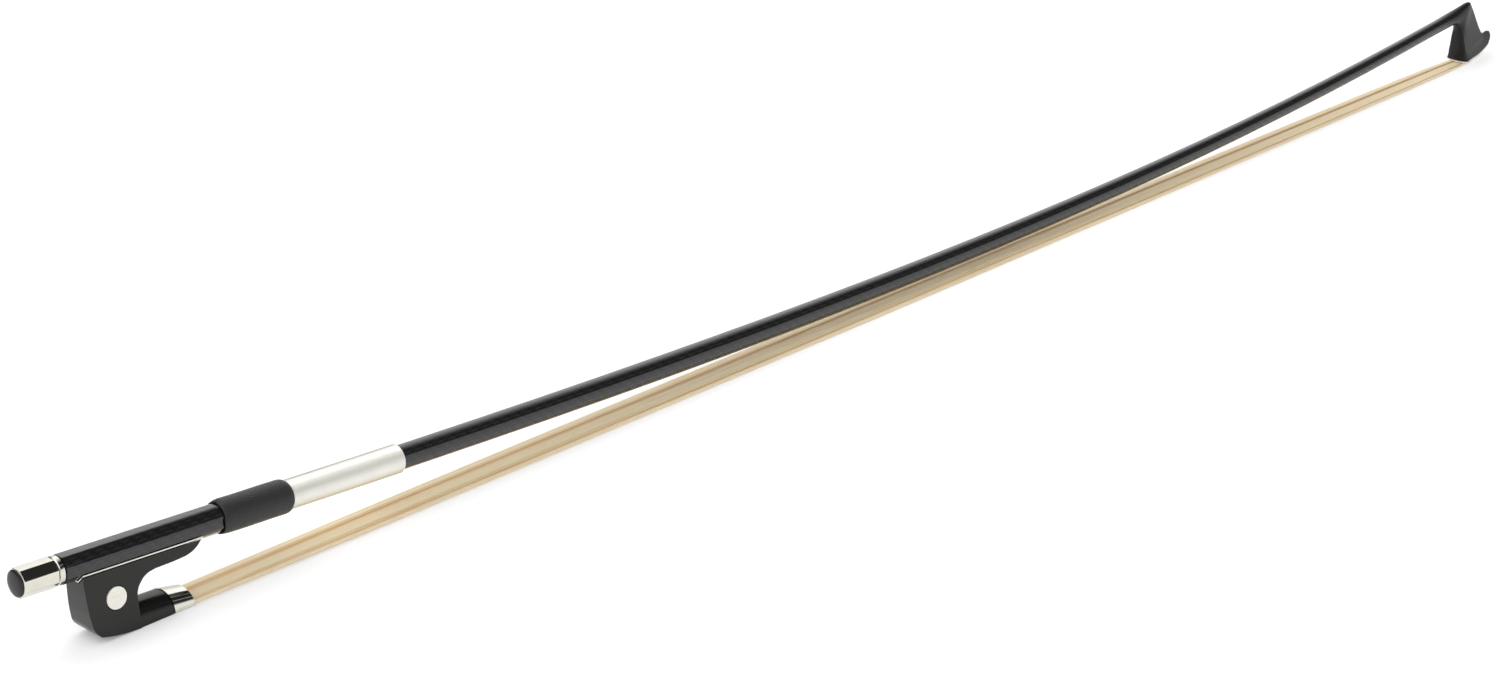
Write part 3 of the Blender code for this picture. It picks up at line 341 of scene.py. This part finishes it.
def silverMaterial():
    material, tree, shader = makeMaterial(
        "polishedSilver", silver["color"], roughness=0.08, Metallic=1.0)
    brushed = noise(tree, objectSpace(tree, (1, 14, 14)), scale=700, detail=4, roughness=0.65)
    cloud = noise(tree, objectSpace(tree), scale=180, detail=3, roughness=0.55)
    stops = list(zip(silver["tarnishSpan"], (silver["tarnish"], silver["color"])))
    color = ramp(tree, cloud, stops)
    tree.links.new(color, shader.inputs["Base Color"])
    tree.links.new(spreadNoise(tree, brushed, *silver["roughness"]), shader.inputs["Roughness"])
    bump(tree, shader, brushed, silver["brushHeight"], strength=0.2)
    return material


turned = {
    "steel": (0.58, 0.58, 0.59),
    "steelRoughness": 0.25,
    "brass": (0.78, 0.58, 0.27),
    "brassRoughness": 0.3,
    "variation": (0.7, 1.4),
    "ringHeight": 0.004 * mm,
}


def metalMaterial(name, color, roughness):
    # turned metal: fine rings round X
    material, tree, shader = makeMaterial(name, color, roughness, Metallic=1.0)
    rings = noise(tree, objectSpace(tree, (30, 1, 1)), scale=300, detail=2, roughness=0.7)
    span = [roughness * share for share in turned["variation"]]
    tree.links.new(spreadNoise(tree, rings, *span), shader.inputs["Roughness"])
    bump(tree, shader, rings, turned["ringHeight"], strength=0.6)
    return material


pearl = {
    "color": (0.86, 0.83, 0.76),
    "stops": [(0.25, (0.70, 0.72, 0.64)), (0.42, (0.90, 0.88, 0.79)), (0.56, (0.87, 0.82, 0.75)),
              (0.68, (0.81, 0.85, 0.77)), (0.85, (0.95, 0.93, 0.85))],
    "fineShare": 0.25,
    "roughness": (0.12, 0.32),
    "layerHeight": 0.01 * mm,
}


def pearlMaterial():
    material, tree, shader = makeMaterial(
        "motherOfPearl", pearl["color"], roughness=0.2, Coat_Weight=0.6, Coat_Roughness=0.06)
    layers = noise(tree, objectSpace(tree, (1, 1, 1.6)), scale=330, detail=3, roughness=0.55,
                   distortion=1.6)
    fine = noise(tree, objectSpace(tree, (3, 1, 1)), scale=1500, detail=2, roughness=0.6)
    fine = sums(tree, "SUBTRACT", fine, 0.5)
    figure = sums(tree, "MULTIPLY_ADD", fine, pearl["fineShare"], layers)
    tree.links.new(ramp(tree, figure, pearl["stops"]), shader.inputs["Base Color"])
    tree.links.new(spreadNoise(tree, layers, *pearl["roughness"]), shader.inputs["Roughness"])
    bump(tree, shader, layers, pearl["layerHeight"], strength=0.4)
    return material


tipWhite = {
    "color": (0.92, 0.91, 0.87),
    "grain": [(0.3, (0.86, 0.84, 0.77)), (0.6, (0.95, 0.94, 0.90))],
    "grainHeight": 0.006 * mm,
}


def whiteMaterial():
    material, tree, shader = makeMaterial(
        "tipWhite", tipWhite["color"], roughness=0.3, IOR=1.5)
    grain = noise(tree, objectSpace(tree, (1, 9, 9)), scale=420, detail=3, roughness=0.6)
    tree.links.new(ramp(tree, grain, tipWhite["grain"]), shader.inputs["Base Color"])
    bump(tree, shader, grain, tipWhite["grainHeight"], strength=0.4)
    return material


mapleLook = {
    "color": (0.6, 0.43, 0.26),
    "grain": [(0.3, (0.42, 0.28, 0.15)), (0.62, (0.68, 0.52, 0.33))],
    "grainHeight": 0.02 * mm,
}


def woodMaterial():
    material, tree, shader = makeMaterial("mapleWood", mapleLook["color"], roughness=0.6)
    grain = noise(tree, objectSpace(tree, (9, 9, 1)), scale=500, detail=4, roughness=0.6)
    tree.links.new(ramp(tree, grain, mapleLook["grain"]), shader.inputs["Base Color"])
    bump(tree, shader, grain, mapleLook["grainHeight"], strength=0.5)
    return material


leatherLook = {
    "color": (0.018, 0.0175, 0.017),
    # painted shade: the colour between the pebbles
    "creaseShade": (0.006, 0.0055, 0.005),
    "raw": (0.020, 0.014, 0.010),
    "roughness": (0.42, 0.62),
    "poreHeight": 0.02 * mm,
}


def leatherMaterial():
    # "crease" is 1 between pebbles, where shade is painted into the creases, and "raw" is 1 on the
    # cut ends and the skin's inner side
    look = leatherLook
    material, tree, shader = makeMaterial(
        "thumbLeather", look["color"], roughness=0.5, Sheen_Weight=0.25, Sheen_Roughness=0.4,
        IOR=1.45)
    creaseShade = readAttribute(tree, "creaseShade")
    raw = readAttribute(tree, "raw")
    color = ramp(tree, creaseShade, [(0.0, look["color"]), (1.0, look["creaseShade"])])
    color = mix(tree, raw, color, (*look["raw"], 1), "RGBA")
    tree.links.new(color, shader.inputs["Base Color"])
    pores = noise(tree, objectSpace(tree), scale=3500, detail=3, roughness=0.65)
    tree.links.new(spreadNoise(tree, pores, *look["roughness"]), shader.inputs["Roughness"])
    bump(tree, shader, pores, look["poreHeight"], strength=0.6)
    return material


wireLook = {
    "color": (0.88, 0.87, 0.81),
    "tarnish": (0.72, 0.705, 0.64),
    "tarnishShare": (0.3, 0.6),
    "roughness": (0.34, 0.42),
}


def wireMaterial():
    # "groove" is 1 where neighbouring turns touch, and holds a little dark tarnish
    look = wireLook
    material, tree, shader = makeMaterial(
        "silverWire", look["color"], roughness=0.38, Metallic=1.0)
    groove = readAttribute(tree, "groove")
    cloud = noise(tree, objectSpace(tree), scale=260, detail=3, roughness=0.6)
    worn = sums(tree, "MULTIPLY", groove, spreadNoise(tree, cloud, *look["tarnishShare"]))
    color = ramp(tree, worn, [(0.0, look["color"]), (1.0, look["tarnish"])])
    tree.links.new(color, shader.inputs["Base Color"])
    tree.links.new(spreadNoise(tree, cloud, *look["roughness"]), shader.inputs["Roughness"])
    return material


hairLook = {
    "color": (0.86, 0.72, 0.44),
    "stops": [(0.0, (0.42, 0.25, 0.11)), (0.35, (0.82, 0.55, 0.27)), (0.6, (1.0, 0.79, 0.47)),
              (1.0, (1.0, 0.885, 0.635))],
    "patches": (-0.1, 0.1),
}


def hairMaterial():
    # "tone" is each hair's own shade, from dark tan to cream, and a band of painted light
    # over the near half of the ribbon
    material, tree, shader = makeMaterial(
        "horsehair", hairLook["color"], roughness=0.32, Specular_IOR_Level=0.9)
    tone = readAttribute(tree, "tone")
    patches = noise(tree, objectSpace(tree, (1, 60, 60)), scale=45, detail=3, roughness=0.6)
    shade = sums(tree, "ADD", tone, spreadNoise(tree, patches, *hairLook["patches"]))
    tree.links.new(ramp(tree, shade, hairLook["stops"]), shader.inputs["Base Color"])
    return material


threadLook = {
    "color": (0.45, 0.08, 0.06),
    "fuzz": [(0.3, (0.30, 0.04, 0.03)), (0.65, (0.52, 0.11, 0.08))],
}


def threadMaterial():
    material, tree, shader = makeMaterial(
        "bindingThread", threadLook["color"], roughness=0.6, Sheen_Weight=0.3)
    fuzz = noise(tree, objectSpace(tree), scale=4000, detail=2, roughness=0.6)
    tree.links.new(ramp(tree, fuzz, threadLook["fuzz"]), shader.inputs["Base Color"])
    return material


blackFrog = blackMaterial()
polished = silverMaterial()
shell = pearlMaterial()
maple = woodMaterial()
dress(carbonMaterial(), "stick")
dress(blackFrog, "frog_body", "slide_base", "button_core")
dress(polished, "ferrule", "underslide", "underslide_pin_front", "underslide_pin_rear",
      "button_sleeve", "button_collar")
dress(shell, "pearl_slide", "pearl_eye_near", "pearl_eye_far")
dress(whiteMaterial(), "tip_plate")
dress(maple, "head_plug", "frog_plug", "spread_wedge")
dress(metalMaterial("brightSteel", turned["steel"], turned["steelRoughness"]), "screw")
dress(metalMaterial("turnedBrass", turned["brass"], turned["brassRoughness"]), "eyelet")
print("materials made")


# Smooth shading: the CAD's facets are flat, so their corners are joined and only edges that
# bend more than the angle given here stay sharp
shading = {"angle": 28, "joined": 0.001 * mm}


def smoothGroup():
    tree = bpy.data.node_groups.new("smoothByAngle", "GeometryNodeTree")
    for way in ("INPUT", "OUTPUT"):
        tree.interface.new_socket("Geometry", in_out=way, socket_type="NodeSocketGeometry")
    source = tree.nodes.new("NodeGroupInput")
    joined = tree.nodes.new("GeometryNodeMergeByDistance")
    joined.inputs["Distance"].default_value = shading["joined"]
    angle = tree.nodes.new("GeometryNodeInputMeshEdgeAngle")
    sharp = tree.nodes.new("FunctionNodeCompare")
    sharp.operation = "GREATER_THAN"
    sharp.inputs["B"].default_value = math.radians(shading["angle"])
    normal = tree.nodes.new("GeometryNodeSetMeshNormal")
    normal.inputs["Remove Custom"].default_value = True
    target = tree.nodes.new("NodeGroupOutput")
    tree.links.new(source.outputs[0], joined.inputs[0])
    tree.links.new(joined.outputs[0], normal.inputs[0])
    tree.links.new(angle.outputs["Unsigned Angle"], sharp.inputs["A"])
    tree.links.new(sharp.outputs[0], normal.inputs["Edge Sharpness"])
    tree.links.new(normal.outputs[0], target.inputs[0])
    return tree


def smoothShading():
    group = smoothGroup()
    for obj in nodes.values():
        obj.modifiers.new("smooth", "NODES").node_group = group
        obj.modifiers.new("weighted", "WEIGHTED_NORMAL").keep_sharp = True


smoothShading()
print("shading smoothed")


# Horsehair: the route repeats the CAD ribbon's. Shares are of the ribbon's half width, unless a
# comment says otherwise, and a wave has a size, a rate and a phase across the ribbon.
hair = {
    # distance, height and the half widths on the near and the far side, in mm
    "route": np.array([
        (34.9, 5.1, 2.4, 2.4), (35.0, 3.6, 2.45, 2.45), (35.5, 2.7, 2.5, 2.5),
        (36.6, 2.25, 2.65, 2.65), (39.5, 2.15, 3.3, 3.3), (49.3, 2.12, 4.7, 4.7),
        (52.5, 1.60, 5.1, 5.1), (56.0, 1.15, 5.35, 5.35), (60.0, 1.08, 5.65, 5.65),
        (120.0, 1.05, 6.7, 6.3), (250.0, 0.95, 7.2, 6.5), (400.0, 0.82, 7.0, 6.3),
        (550.0, 0.70, 6.3, 5.8), (680.0, 0.58, 5.1, 4.9), (706.0, 0.52, 4.6, 4.6),
        (719.5, 0.50, 3.9, 3.9), (722.6, 0.52, 2.75, 2.75), (723.7, 0.95, 2.55, 2.55),
        (724.15, 1.90, 2.45, 2.45), (724.25, 3.50, 2.35, 2.35)]),
    "strands": 250,
    "radius": 0.095 * mm,
    "thinnest": 0.8,  # as a share of the radius
    "thickest": 1.15,
    "thickness": 0.42 * mm,  # of the ribbon
    "sides": 4,
    "stations": 64,
    "uneven": 0.012,  # in the spacing of the hairs
    "bunches": [(0.010, 41, 0), (0.006, 97, 1)],
    "layerStep": 0.62,  # this and the next three are shares of half the thickness
    "layerUneven": 0.22,
    "lift": 0.10,
    "deepest": 0.8,
    "sway": 0.018,  # how far a hair wanders across
    "swayTurns": (1, 2, 3, 5),
    "held": 0.03,  # share of the length at each end over which hairs lie still
    "strays": 9,
    "strayReach": 0.05,
    "strayLeast": 0.3,  # share of the reach
    "edgeRoom": 1.03,
    "tone": 0.66,
    "toneWaves": [(0.06, 17, 0.6), (0.05, 33, 2.1)],
    "toneUneven": 0.17,
    # middle, width and depth at the frog and at the head of each streak: a dark line a third of
    # the way in from the far side, a thin one near the near side, light hair at the far edge, and
    # between the dark lines a band of painted light over the near half of the ribbon
    "streaksAndPaintedLight": [(0.36, 0.11, -0.35, -0.85), (0.9, 0.18, 0.30, 0.30), (-0.3, 0.35, 0.22, 0.26),
                (-0.70, 0.06, -0.30, -0.55)],
    "seed": 11,
}


def hairStations():
    # every bend of the route, and even steps between: the reach along it, the same as a share of
    # the whole, and the route's four columns there
    route = hair["route"] * mm
    steps = np.hypot(np.diff(route[:, 0]), np.diff(route[:, 1]))
    steps = np.concatenate([[0], np.cumsum(steps)])
    even = np.linspace(0, steps[-1], hair["stations"] - len(steps) + 2)
    reach = np.unique(np.concatenate([steps, even]).round(6))
    return reach, reach / steps[-1], [np.interp(reach, steps, column) for column in route.T]


def makeHair():
    # each point is the ribbon's centre + sideways * place * half width + up * depth * half
    # thickness + a small ring; each hair keeps its place across and through the ribbon, and
    # wanders a little on slow waves
    draw = np.random.default_rng(hair["seed"])
    count = hair["strands"]
    reach, s, (distance, height, near, far) = hairStations()
    tangent = np.stack([np.gradient(distance, reach), np.gradient(height, reach)], -1)
    tangent /= np.linalg.norm(tangent, axis=1)[:, None]
    up = np.stack([-tangent[:, 1], np.zeros(len(reach)), tangent[:, 0]], -1)
    across = np.linspace(-1, 1, count) + draw.normal(0, hair["uneven"], count)
    across = across + waves(across, hair["bunches"])
    layer = (np.arange(count) % 3 - 1) * hair["layerStep"]
    layer = layer + draw.uniform(-hair["layerUneven"], hair["layerUneven"], count)
    wave = np.zeros((count, len(reach)))
    lift = np.zeros((count, len(reach)))
    for turns in hair["swayTurns"]:
        phase = draw.uniform(0, 2 * np.pi, (2, count, 1))
        size = draw.normal(0, 1, (2, count, 1)) / turns
        wave += size[0] * np.sin(2 * np.pi * turns * s + phase[0])
        lift += size[1] * np.sin(2 * np.pi * turns * s + phase[1])
    free = np.sin(np.pi * np.clip((s - hair["held"]) / (1 - 2 * hair["held"]), 0, 1)) ** 0.5
    place = across[:, None] + hair["sway"] * wave * free
    stray = draw.choice(count, hair["strays"], replace=False)
    astray = free * draw.uniform(hair["strayLeast"], 1, (hair["strays"], 1))
    place[stray] += np.sign(place[stray]) * hair["strayReach"] * astray
    edge = (1 - hair["radius"] / near) * hair["edgeRoom"]
    place = np.clip(place, -edge, edge)
    depth = layer[:, None] + hair["lift"] * lift * free
    depth = np.clip(depth, -hair["deepest"], hair["deepest"])
    half = np.where(place > 0, far, near)
    centre = np.stack([buttonEnd + distance, np.zeros(len(reach)), height], -1)
    line = centre[None] + sideways * (place * half)[..., None]
    line = line + up[None] * (depth * (hair["thickness"] / 2 - hair["radius"]))[..., None]
    turn = fullTurn(hair["sides"]) + np.pi / 4
    radius = hair["radius"] * draw.uniform(hair["thinnest"], hair["thickest"], (count, 1, 1, 1))
    rings = line[:, :, None] + radius * (
        sideways * np.cos(turn)[:, None] + up[None, :, None] * np.sin(turn)[:, None])
    # shades run in streaks, one of them a band of painted light: each adds depth *
    # exp(-((across - middle) / width)^2), and the dark ones deepen from the frog to the head
    plain = hair["tone"] + waves(across, hair["toneWaves"])
    plain = plain + draw.normal(0, hair["toneUneven"], count)
    tone = plain[:, None] + np.zeros(len(reach))
    for middle, width, atFrog, atHead in hair["streaksAndPaintedLight"]:
        bell = np.exp(-(((across - middle) / width) ** 2))
        tone += bell[:, None] * (atFrog + (atHead - atFrog) * s)
    tone = np.clip(tone, 0, 1)[..., None]
    ribbon = gridObject("horsehair_ribbon", rings, values={"tone": tone})
    ribbon.data.materials.append(hairMaterial())
    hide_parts("hair_ribbon")
    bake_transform(ribbon)
    print("hair made:", count, "hairs")


# Winding: one fine silver wire, each turn against the last
winding = {
    "start": 97.6 * mm,
    "end": 142.0 * mm,
    "radius": 4.7 * mm,
    "wire": 0.165 * mm,  # radius
    "steps": 36,  # a turn
    "sides": 8,
    "grooveNarrowness": 6,
}


def makeWinding():
    # a coil along the centre line, whose distance grows by the wire's width in each turn
    w = winding
    pitch = 2 * w["wire"]
    turns = (w["end"] - w["start"]) / pitch - 1
    angle = np.linspace(0, 2 * np.pi * turns, int(turns * w["steps"]))
    distance = w["start"] + w["wire"] + angle / (2 * np.pi) * pitch
    centre, along, up = centreFrame(distance)
    coilRadius = w["radius"] - w["wire"]
    rings = coilRings(centre, along, up, sideways, coilRadius, w["wire"], angle, w["sides"])
    groove = np.abs(np.sin(fullTurn(w["sides"]))) ** w["grooveNarrowness"]
    coil = gridObject("silver_wire_winding", rings, values={"groove": groove})
    coil.data.materials.append(wireMaterial())
    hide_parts("silver_winding")
    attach(coil, "stick")
    print("winding made:", round(turns), "turns")


# Thumb leather: a strip glued round the handle, its long edges meeting underneath
leather = {
    "start": 71.6 * mm,
    "end": 97.2 * mm,
    "radius": 5.45 * mm,
    "inner": 4.94 * mm,
    "thinnest": 0.12 * mm,
    "rearRound": 3.2 * mm,
    "frontRound": 1.8 * mm,
    "along": 150,
    "round": 220,
    "even": 0.65,  # share of even spacing along; the rest crowds towards the ends
    "pebble": 0.85 * mm,
    "scatter": 0.42,  # of the pebbles, as a share of their spacing
    "creaseWidth": 0.28,
    "creasePower": 1.3,
    "height": 0.07 * mm,
    "level": 0.6,  # the pebble height that lies on the radius
    "soft": 0.022 * mm,
    "softWaves": ((1, 1), (2, 1), (3, 2), (1, 3)),  # turns round and waves along
    "endFade": 1.2 * mm,
    "endLeast": 0.15,
    "seam": 0.16 * mm,  # width and depth
    "lumps": 0.09 * mm,
    "ragged": 0.3 * mm,
    "raggedWaves": [(1, 2, 1), (0.6, 5, 0.4)],
    "rearReach": 3.5 * mm,
    "seed": 5,
    "batches": 24,
}


def pebbles(place, width, length, draw):
    # height over rounded cells: 1 in the middle of a pebble and 0 in the crease between two,
    # from the difference of the distances to the two nearest of many scattered points
    size = leather["pebble"]
    columns = int(width / size)
    rows = int(length / size) + 2
    seeds = np.meshgrid(np.arange(columns), np.arange(rows) - 0.5, indexing="ij")
    seeds = np.stack(seeds, -1).reshape(-1, 2)
    scatter = draw.uniform(-leather["scatter"], leather["scatter"], seeds.shape)
    seeds = (seeds + scatter) * (width / columns, size)
    flat = place.reshape(-1, 2)
    nearest = np.full((len(flat), 2), 1.0)
    for part in np.array_split(np.arange(len(flat)), leather["batches"]):
        apart = np.abs(flat[part, None] - seeds[None])
        apart[..., 0] = np.minimum(apart[..., 0], width - apart[..., 0])
        gap = np.partition(np.hypot(apart[..., 0], apart[..., 1]), 1, axis=1)[:, :2]
        nearest[part] = np.sort(gap, axis=1)
    step = (nearest[:, 1] - nearest[:, 0]) / size
    rise = (step / leather["creaseWidth"]) ** leather["creasePower"]
    return (1 - np.exp(-rise)).reshape(place.shape[:-1])


def makeLeather():
    # each point is the centre line + radial * radius, where the radius is full, less an elliptic
    # corner at each end, plus pebbles, soft waves and a seam; the rear end is lumpy and ragged
    c = leather
    draw = np.random.default_rng(c["seed"])
    length = c["end"] - c["start"]
    crowded = (1 - np.cos(np.linspace(0, np.pi, c["along"]))) / 2
    s = crowded * (1 - c["even"]) + np.linspace(0, 1, c["along"]) * c["even"]
    s = s * length
    full = c["radius"] - c["inner"] - c["thinnest"]
    rear = np.clip(1 - s / c["rearRound"], 0, 1)
    front = np.clip(1 - (length - s) / c["frontRound"], 0, 1)
    drop = full * (1 - np.sqrt(1 - rear**2)) + full * (1 - np.sqrt(1 - front**2))
    angle = fullTurn(c["round"])
    width = 2 * np.pi * c["radius"]
    place = np.meshgrid(s, angle / (2 * np.pi) * width, indexing="ij")
    place = np.stack(place, -1)[..., ::-1]
    grain = pebbles(place, width, length, draw)
    soft = np.zeros_like(grain)
    for turns, count in c["softWaves"]:
        phase = draw.uniform(0, 2 * np.pi, 2)
        swell = np.sin(np.pi * count * s[:, None] / length + phase[1])
        soft += np.sin(turns * angle[None] + phase[0]) * swell
    fade = np.clip(np.minimum(s, length - s) / c["endFade"], c["endLeast"], 1)[:, None]
    seam = np.exp(-((c["radius"] * (angle - np.pi) / c["seam"]) ** 2))[None]
    rearward = np.exp(-s / c["rearReach"])[:, None]
    relief = c["height"] * (grain - c["level"]) + (c["soft"] + c["lumps"] * rearward) * soft
    radius = c["radius"] - drop[:, None] + fade * (relief - c["seam"] * seam)
    centre, along, up = centreFrame(c["start"] + s)
    radial = up[:, None] * np.cos(angle)[None, :, None]
    radial = radial + sideways * np.sin(angle)[None, :, None]
    outer = centre[:, None] + radial * radius[..., None]
    ragged = c["ragged"] * waves(angle, c["raggedWaves"])
    outer = outer + along[:, None] * (rearward * ragged)[..., None]
    inner = centre[[-1, 0], None] + radial[[-1, 0]] * c["inner"]
    rings = np.concatenate([outer, inner])[None]
    # painted shade goes into the creases between pebbles
    creaseShade = np.concatenate([1 - grain, np.ones((2, c["round"]))])[None]
    # raw are the first two rings and the last of the outer side, and the inner side's two
    raw = np.zeros((1, c["along"] + 2, 1))
    raw[0, [0, 1, -3, -2, -1]] = 1
    values = {"creaseShade": creaseShade, "raw": raw}
    wrap = gridObject("thumb_leather_wrap", rings, closedAlong=True, values=values)
    wrap.data.materials.append(leatherMaterial())
    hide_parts("thumb_leather")
    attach(wrap, "stick")
    print("leather made")


# Button end: a polished black dome over the core's end, as wide as the sleeve's flats allow
buttonDome = {
    "seat": 0.34 * mm,
    "edge": 0.24 * mm,
    "top": -0.55 * mm,
    "radius": 4.2 * mm,
    "fullness": 0.85,
    "rings": 16,
    "lastAngle": 0.02,
    "round": 96,
}


def makeButtonDome():
    # each point is the centre line + radial * radius, where the distance falls from the edge to
    # the top as cos rises, and the radius follows sin to a power
    c = buttonDome
    angle = np.linspace(0.5 * np.pi, c["lastAngle"], c["rings"])
    distance = np.append(c["seat"], c["edge"] - (c["edge"] - c["top"]) * np.cos(angle))
    radius = np.append(c["radius"], c["radius"] * np.sin(angle) ** c["fullness"])
    centre, _, up = centreFrame(distance)
    turn = fullTurn(c["round"])
    radial = up[:, None] * np.cos(turn)[None, :, None]
    radial = radial + sideways * np.sin(turn)[None, :, None]
    rings = (centre[:, None] + radial * radius[:, None, None])[None]
    dome = gridObject("button_end_dome", rings)
    dome.data.materials.append(blackFrog)
    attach(dome, "screw")
    print("button dome made")


# Hair knots: waxed thread wound round the gathered ends, inside the frog and the head
knots = {
    "frog_hair_knot": {"piece": "frog_knot_thread", "core": "frog_knot_core", "body": "frog",
                       "distance": 34.8 * mm, "height": 6.8 * mm, "radius": 1.2 * mm,
                       "half": 2.4 * mm},
    "head_hair_knot": {"piece": "head_knot_thread", "core": "head_knot_core", "body": "stick",
                       "distance": 725.3 * mm, "height": 5.0 * mm, "radius": 0.85 * mm,
                       "half": 2.1 * mm},
}
knotLook = {
    "wire": 0.15 * mm,  # the thread's radius
    "steps": 24,  # a turn
    "sides": 6,
    "coreSides": 24,
    "tone": 0.3,
    # of the core, as shares of the half length and of the radius inside the thread
    "outline": np.array([(-1.0, 0.45), (-0.97, 0.75), (-0.9, 0.86), (0.9, 0.86), (0.97, 0.75),
                         (1.0, 0.45)]),
}


def makeKnot(node, k, material):
    # a helix of thread along Y, and inside it a core of gathered hair, each of whose points is
    # the middle + sideways * share of the half length + circle * share of the inner radius
    wire = knotLook["wire"]
    inner = k["radius"] - wire
    turns = k["half"] / wire - 1
    angle = np.linspace(0, 2 * np.pi * turns, int(turns * knotLook["steps"]))
    across = -k["half"] + wire + angle / (2 * np.pi) * 2 * wire
    flat = np.zeros_like(angle)
    centre = np.stack([flat + buttonEnd + k["distance"], across, flat + k["height"]], -1)
    axis = np.broadcast_to(sideways, centre.shape)
    up = np.broadcast_to(upward, centre.shape)
    rings = coilRings(centre, axis, up, forward, inner, wire, angle, knotLook["sides"])
    thread = gridObject(k["piece"], rings)
    thread.data.materials.append(material)
    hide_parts(node)
    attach(thread, k["body"])
    turn = fullTurn(knotLook["coreSides"])
    shares = knotLook["outline"]
    middle = np.array([buttonEnd + k["distance"], 0, k["height"]])
    circle = forward * np.cos(turn)[:, None] + upward * np.sin(turn)[:, None]
    core = middle + sideways * (shares[:, 0] * k["half"])[:, None, None]
    core = core + circle[None] * (shares[:, 1] * inner)[:, None, None]
    gathered = gridObject(k["core"], core[None], values={"tone": knotLook["tone"]})
    gathered.data.materials.append(bpy.data.materials["horsehair"])
    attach(gathered, k["body"])


makeHair()
makeWinding()
makeLeather()
makeButtonDome()
waxedThread = threadMaterial()
for node, settings in knots.items():
    makeKnot(node, settings, waxedThread)
print("knots made")


# Floor, light and camera
stage = {"reach": 12.0, "floor": (0.88, 0.88, 0.88), "roughness": 0.9, "gloss": 0.1, "glow": 0.2}
light = {
    "sunStrength": 0.6,
    "sunAngle": 50,
    "sunFrom": (-0.42, 0.40, 0.82),
    # the room's light by the angle over the bow, from the horizon behind it (0) to the one in
    # front (180): a pale wall, a dark ceiling and a pale front to the right, a broad window to
    # the left
    "right": [(0, 0.6), (20, 1.1), (32, 1.45), (55, 1.5), (78, 0.75), (100, 0.02), (127, 0.03),
              (129, 0.9), (131, 0.03), (152, 0.04), (165, 1.1)],
    "left": [(13, 0.12), (36, 0.4), (61, 1.0), (80, 1.5), (100, 1.5), (129, 1.2), (151, 0.7),
             (165, 0.75)],
    "peak": 1.5,
    "leftFull": 0.25,  # this and the next are shares of +X in a direction
    "rightFull": 0.5,
}
camera = {
    "target": (-0.073501, 0, 0.0054126),
    "azimuth": -44.78274,
    "elevation": 23.10582,
    "roll": -1.361105,
    "distance": 1.22648354,
    "sensor": 36,
    "focus": 3574.62354,  # focal length in pixels of the photograph
    "imageWidth": 1500,
    "clipStart": 0.01,
}


def makeFloor():
    r = stage["reach"]
    mesh = bpy.data.meshes.new("floor")
    mesh.from_pydata([(-r, -r, 0), (r, -r, 0), (r, r, 0), (-r, r, 0)], [], [(0, 1, 2, 3)])
    floor = bpy.data.objects.new("floor", mesh)
    bpy.context.scene.collection.objects.link(floor)
    material, _, shader = makeMaterial(
        "paleFloor", stage["floor"], stage["roughness"], Emission_Strength=stage["glow"],
        Specular_IOR_Level=stage["gloss"])
    shader.inputs["Emission Color"].default_value = (1, 1, 1, 1)
    mesh.materials.append(material)


def makeLight():
    sun = bpy.data.lights.new("softLamp", "SUN")
    sun.energy = light["sunStrength"]
    sun.angle = math.radians(light["sunAngle"])
    lamp = bpy.data.objects.new("softLamp", sun)
    lamp.rotation_mode = "QUATERNION"
    lamp.rotation_quaternion = Vector(light["sunFrom"]).to_track_quat("Z", "Y")
    bpy.context.scene.collection.objects.link(lamp)
    world = bpy.data.worlds.new("studio")
    world.use_nodes = True
    bpy.context.scene.world = world
    tree = world.node_tree
    direction = addNode(tree, "TexCoord").outputs["Generated"]
    x, y, z = addNode(tree, "SeparateXYZ", {0: direction}).outputs
    turn = sums(tree, "DIVIDE", sums(tree, "ARCTAN2", z, y), math.pi)
    sides = []
    for side in ("left", "right"):
        stops = [(angle / 180, [level / light["peak"]] * 3) for angle, level in light[side]]
        sides.append(ramp(tree, turn, stops))
    share = spread(tree, x, light["leftFull"], light["rightFull"], 0, 1, "SMOOTHSTEP")
    strength = sums(tree, "MULTIPLY", mix(tree, share, *sides, "RGBA"), light["peak"])
    seen = addNode(tree, "LightPath").outputs["Is Camera Ray"]
    strength = mix(tree, seen, strength, 1.0)
    tree.links.new(strength, tree.nodes["Background"].inputs["Strength"])
    tree.nodes["Background"].inputs["Color"].default_value = (1, 1, 1, 1)


def makeCamera():
    # looks at the target from the azimuth and elevation, then rolls about its own line of sight
    azimuth, elevation = math.radians(camera["azimuth"]), math.radians(camera["elevation"])
    back = Vector((math.sin(azimuth) * math.cos(elevation),
                   -math.cos(azimuth) * math.cos(elevation), math.sin(elevation)))
    data = bpy.data.cameras.new("camera")
    data.sensor_width = camera["sensor"]
    data.lens = camera["focus"] / camera["imageWidth"] * camera["sensor"]
    data.clip_start = camera["clipStart"]
    eye = bpy.data.objects.new("camera", data)
    turn = (-back).to_track_quat("-Z", "Y").to_matrix()
    turn = turn @ Matrix.Rotation(math.radians(camera["roll"]), 3, "Z")
    place = Vector(camera["target"]) + back * camera["distance"]
    eye.matrix_world = Matrix.Translation(place) @ turn.to_4x4()
    bpy.context.scene.collection.objects.link(eye)
    bpy.context.scene.camera = eye
    print("camera at", [round(v, 4) for v in eye.location], [round(v, 4) for v in turn.col[0]])


makeFloor()
makeLight()
makeCamera()
bpy.context.scene.view_settings.view_transform = "Standard"
print("floor, light and camera set")
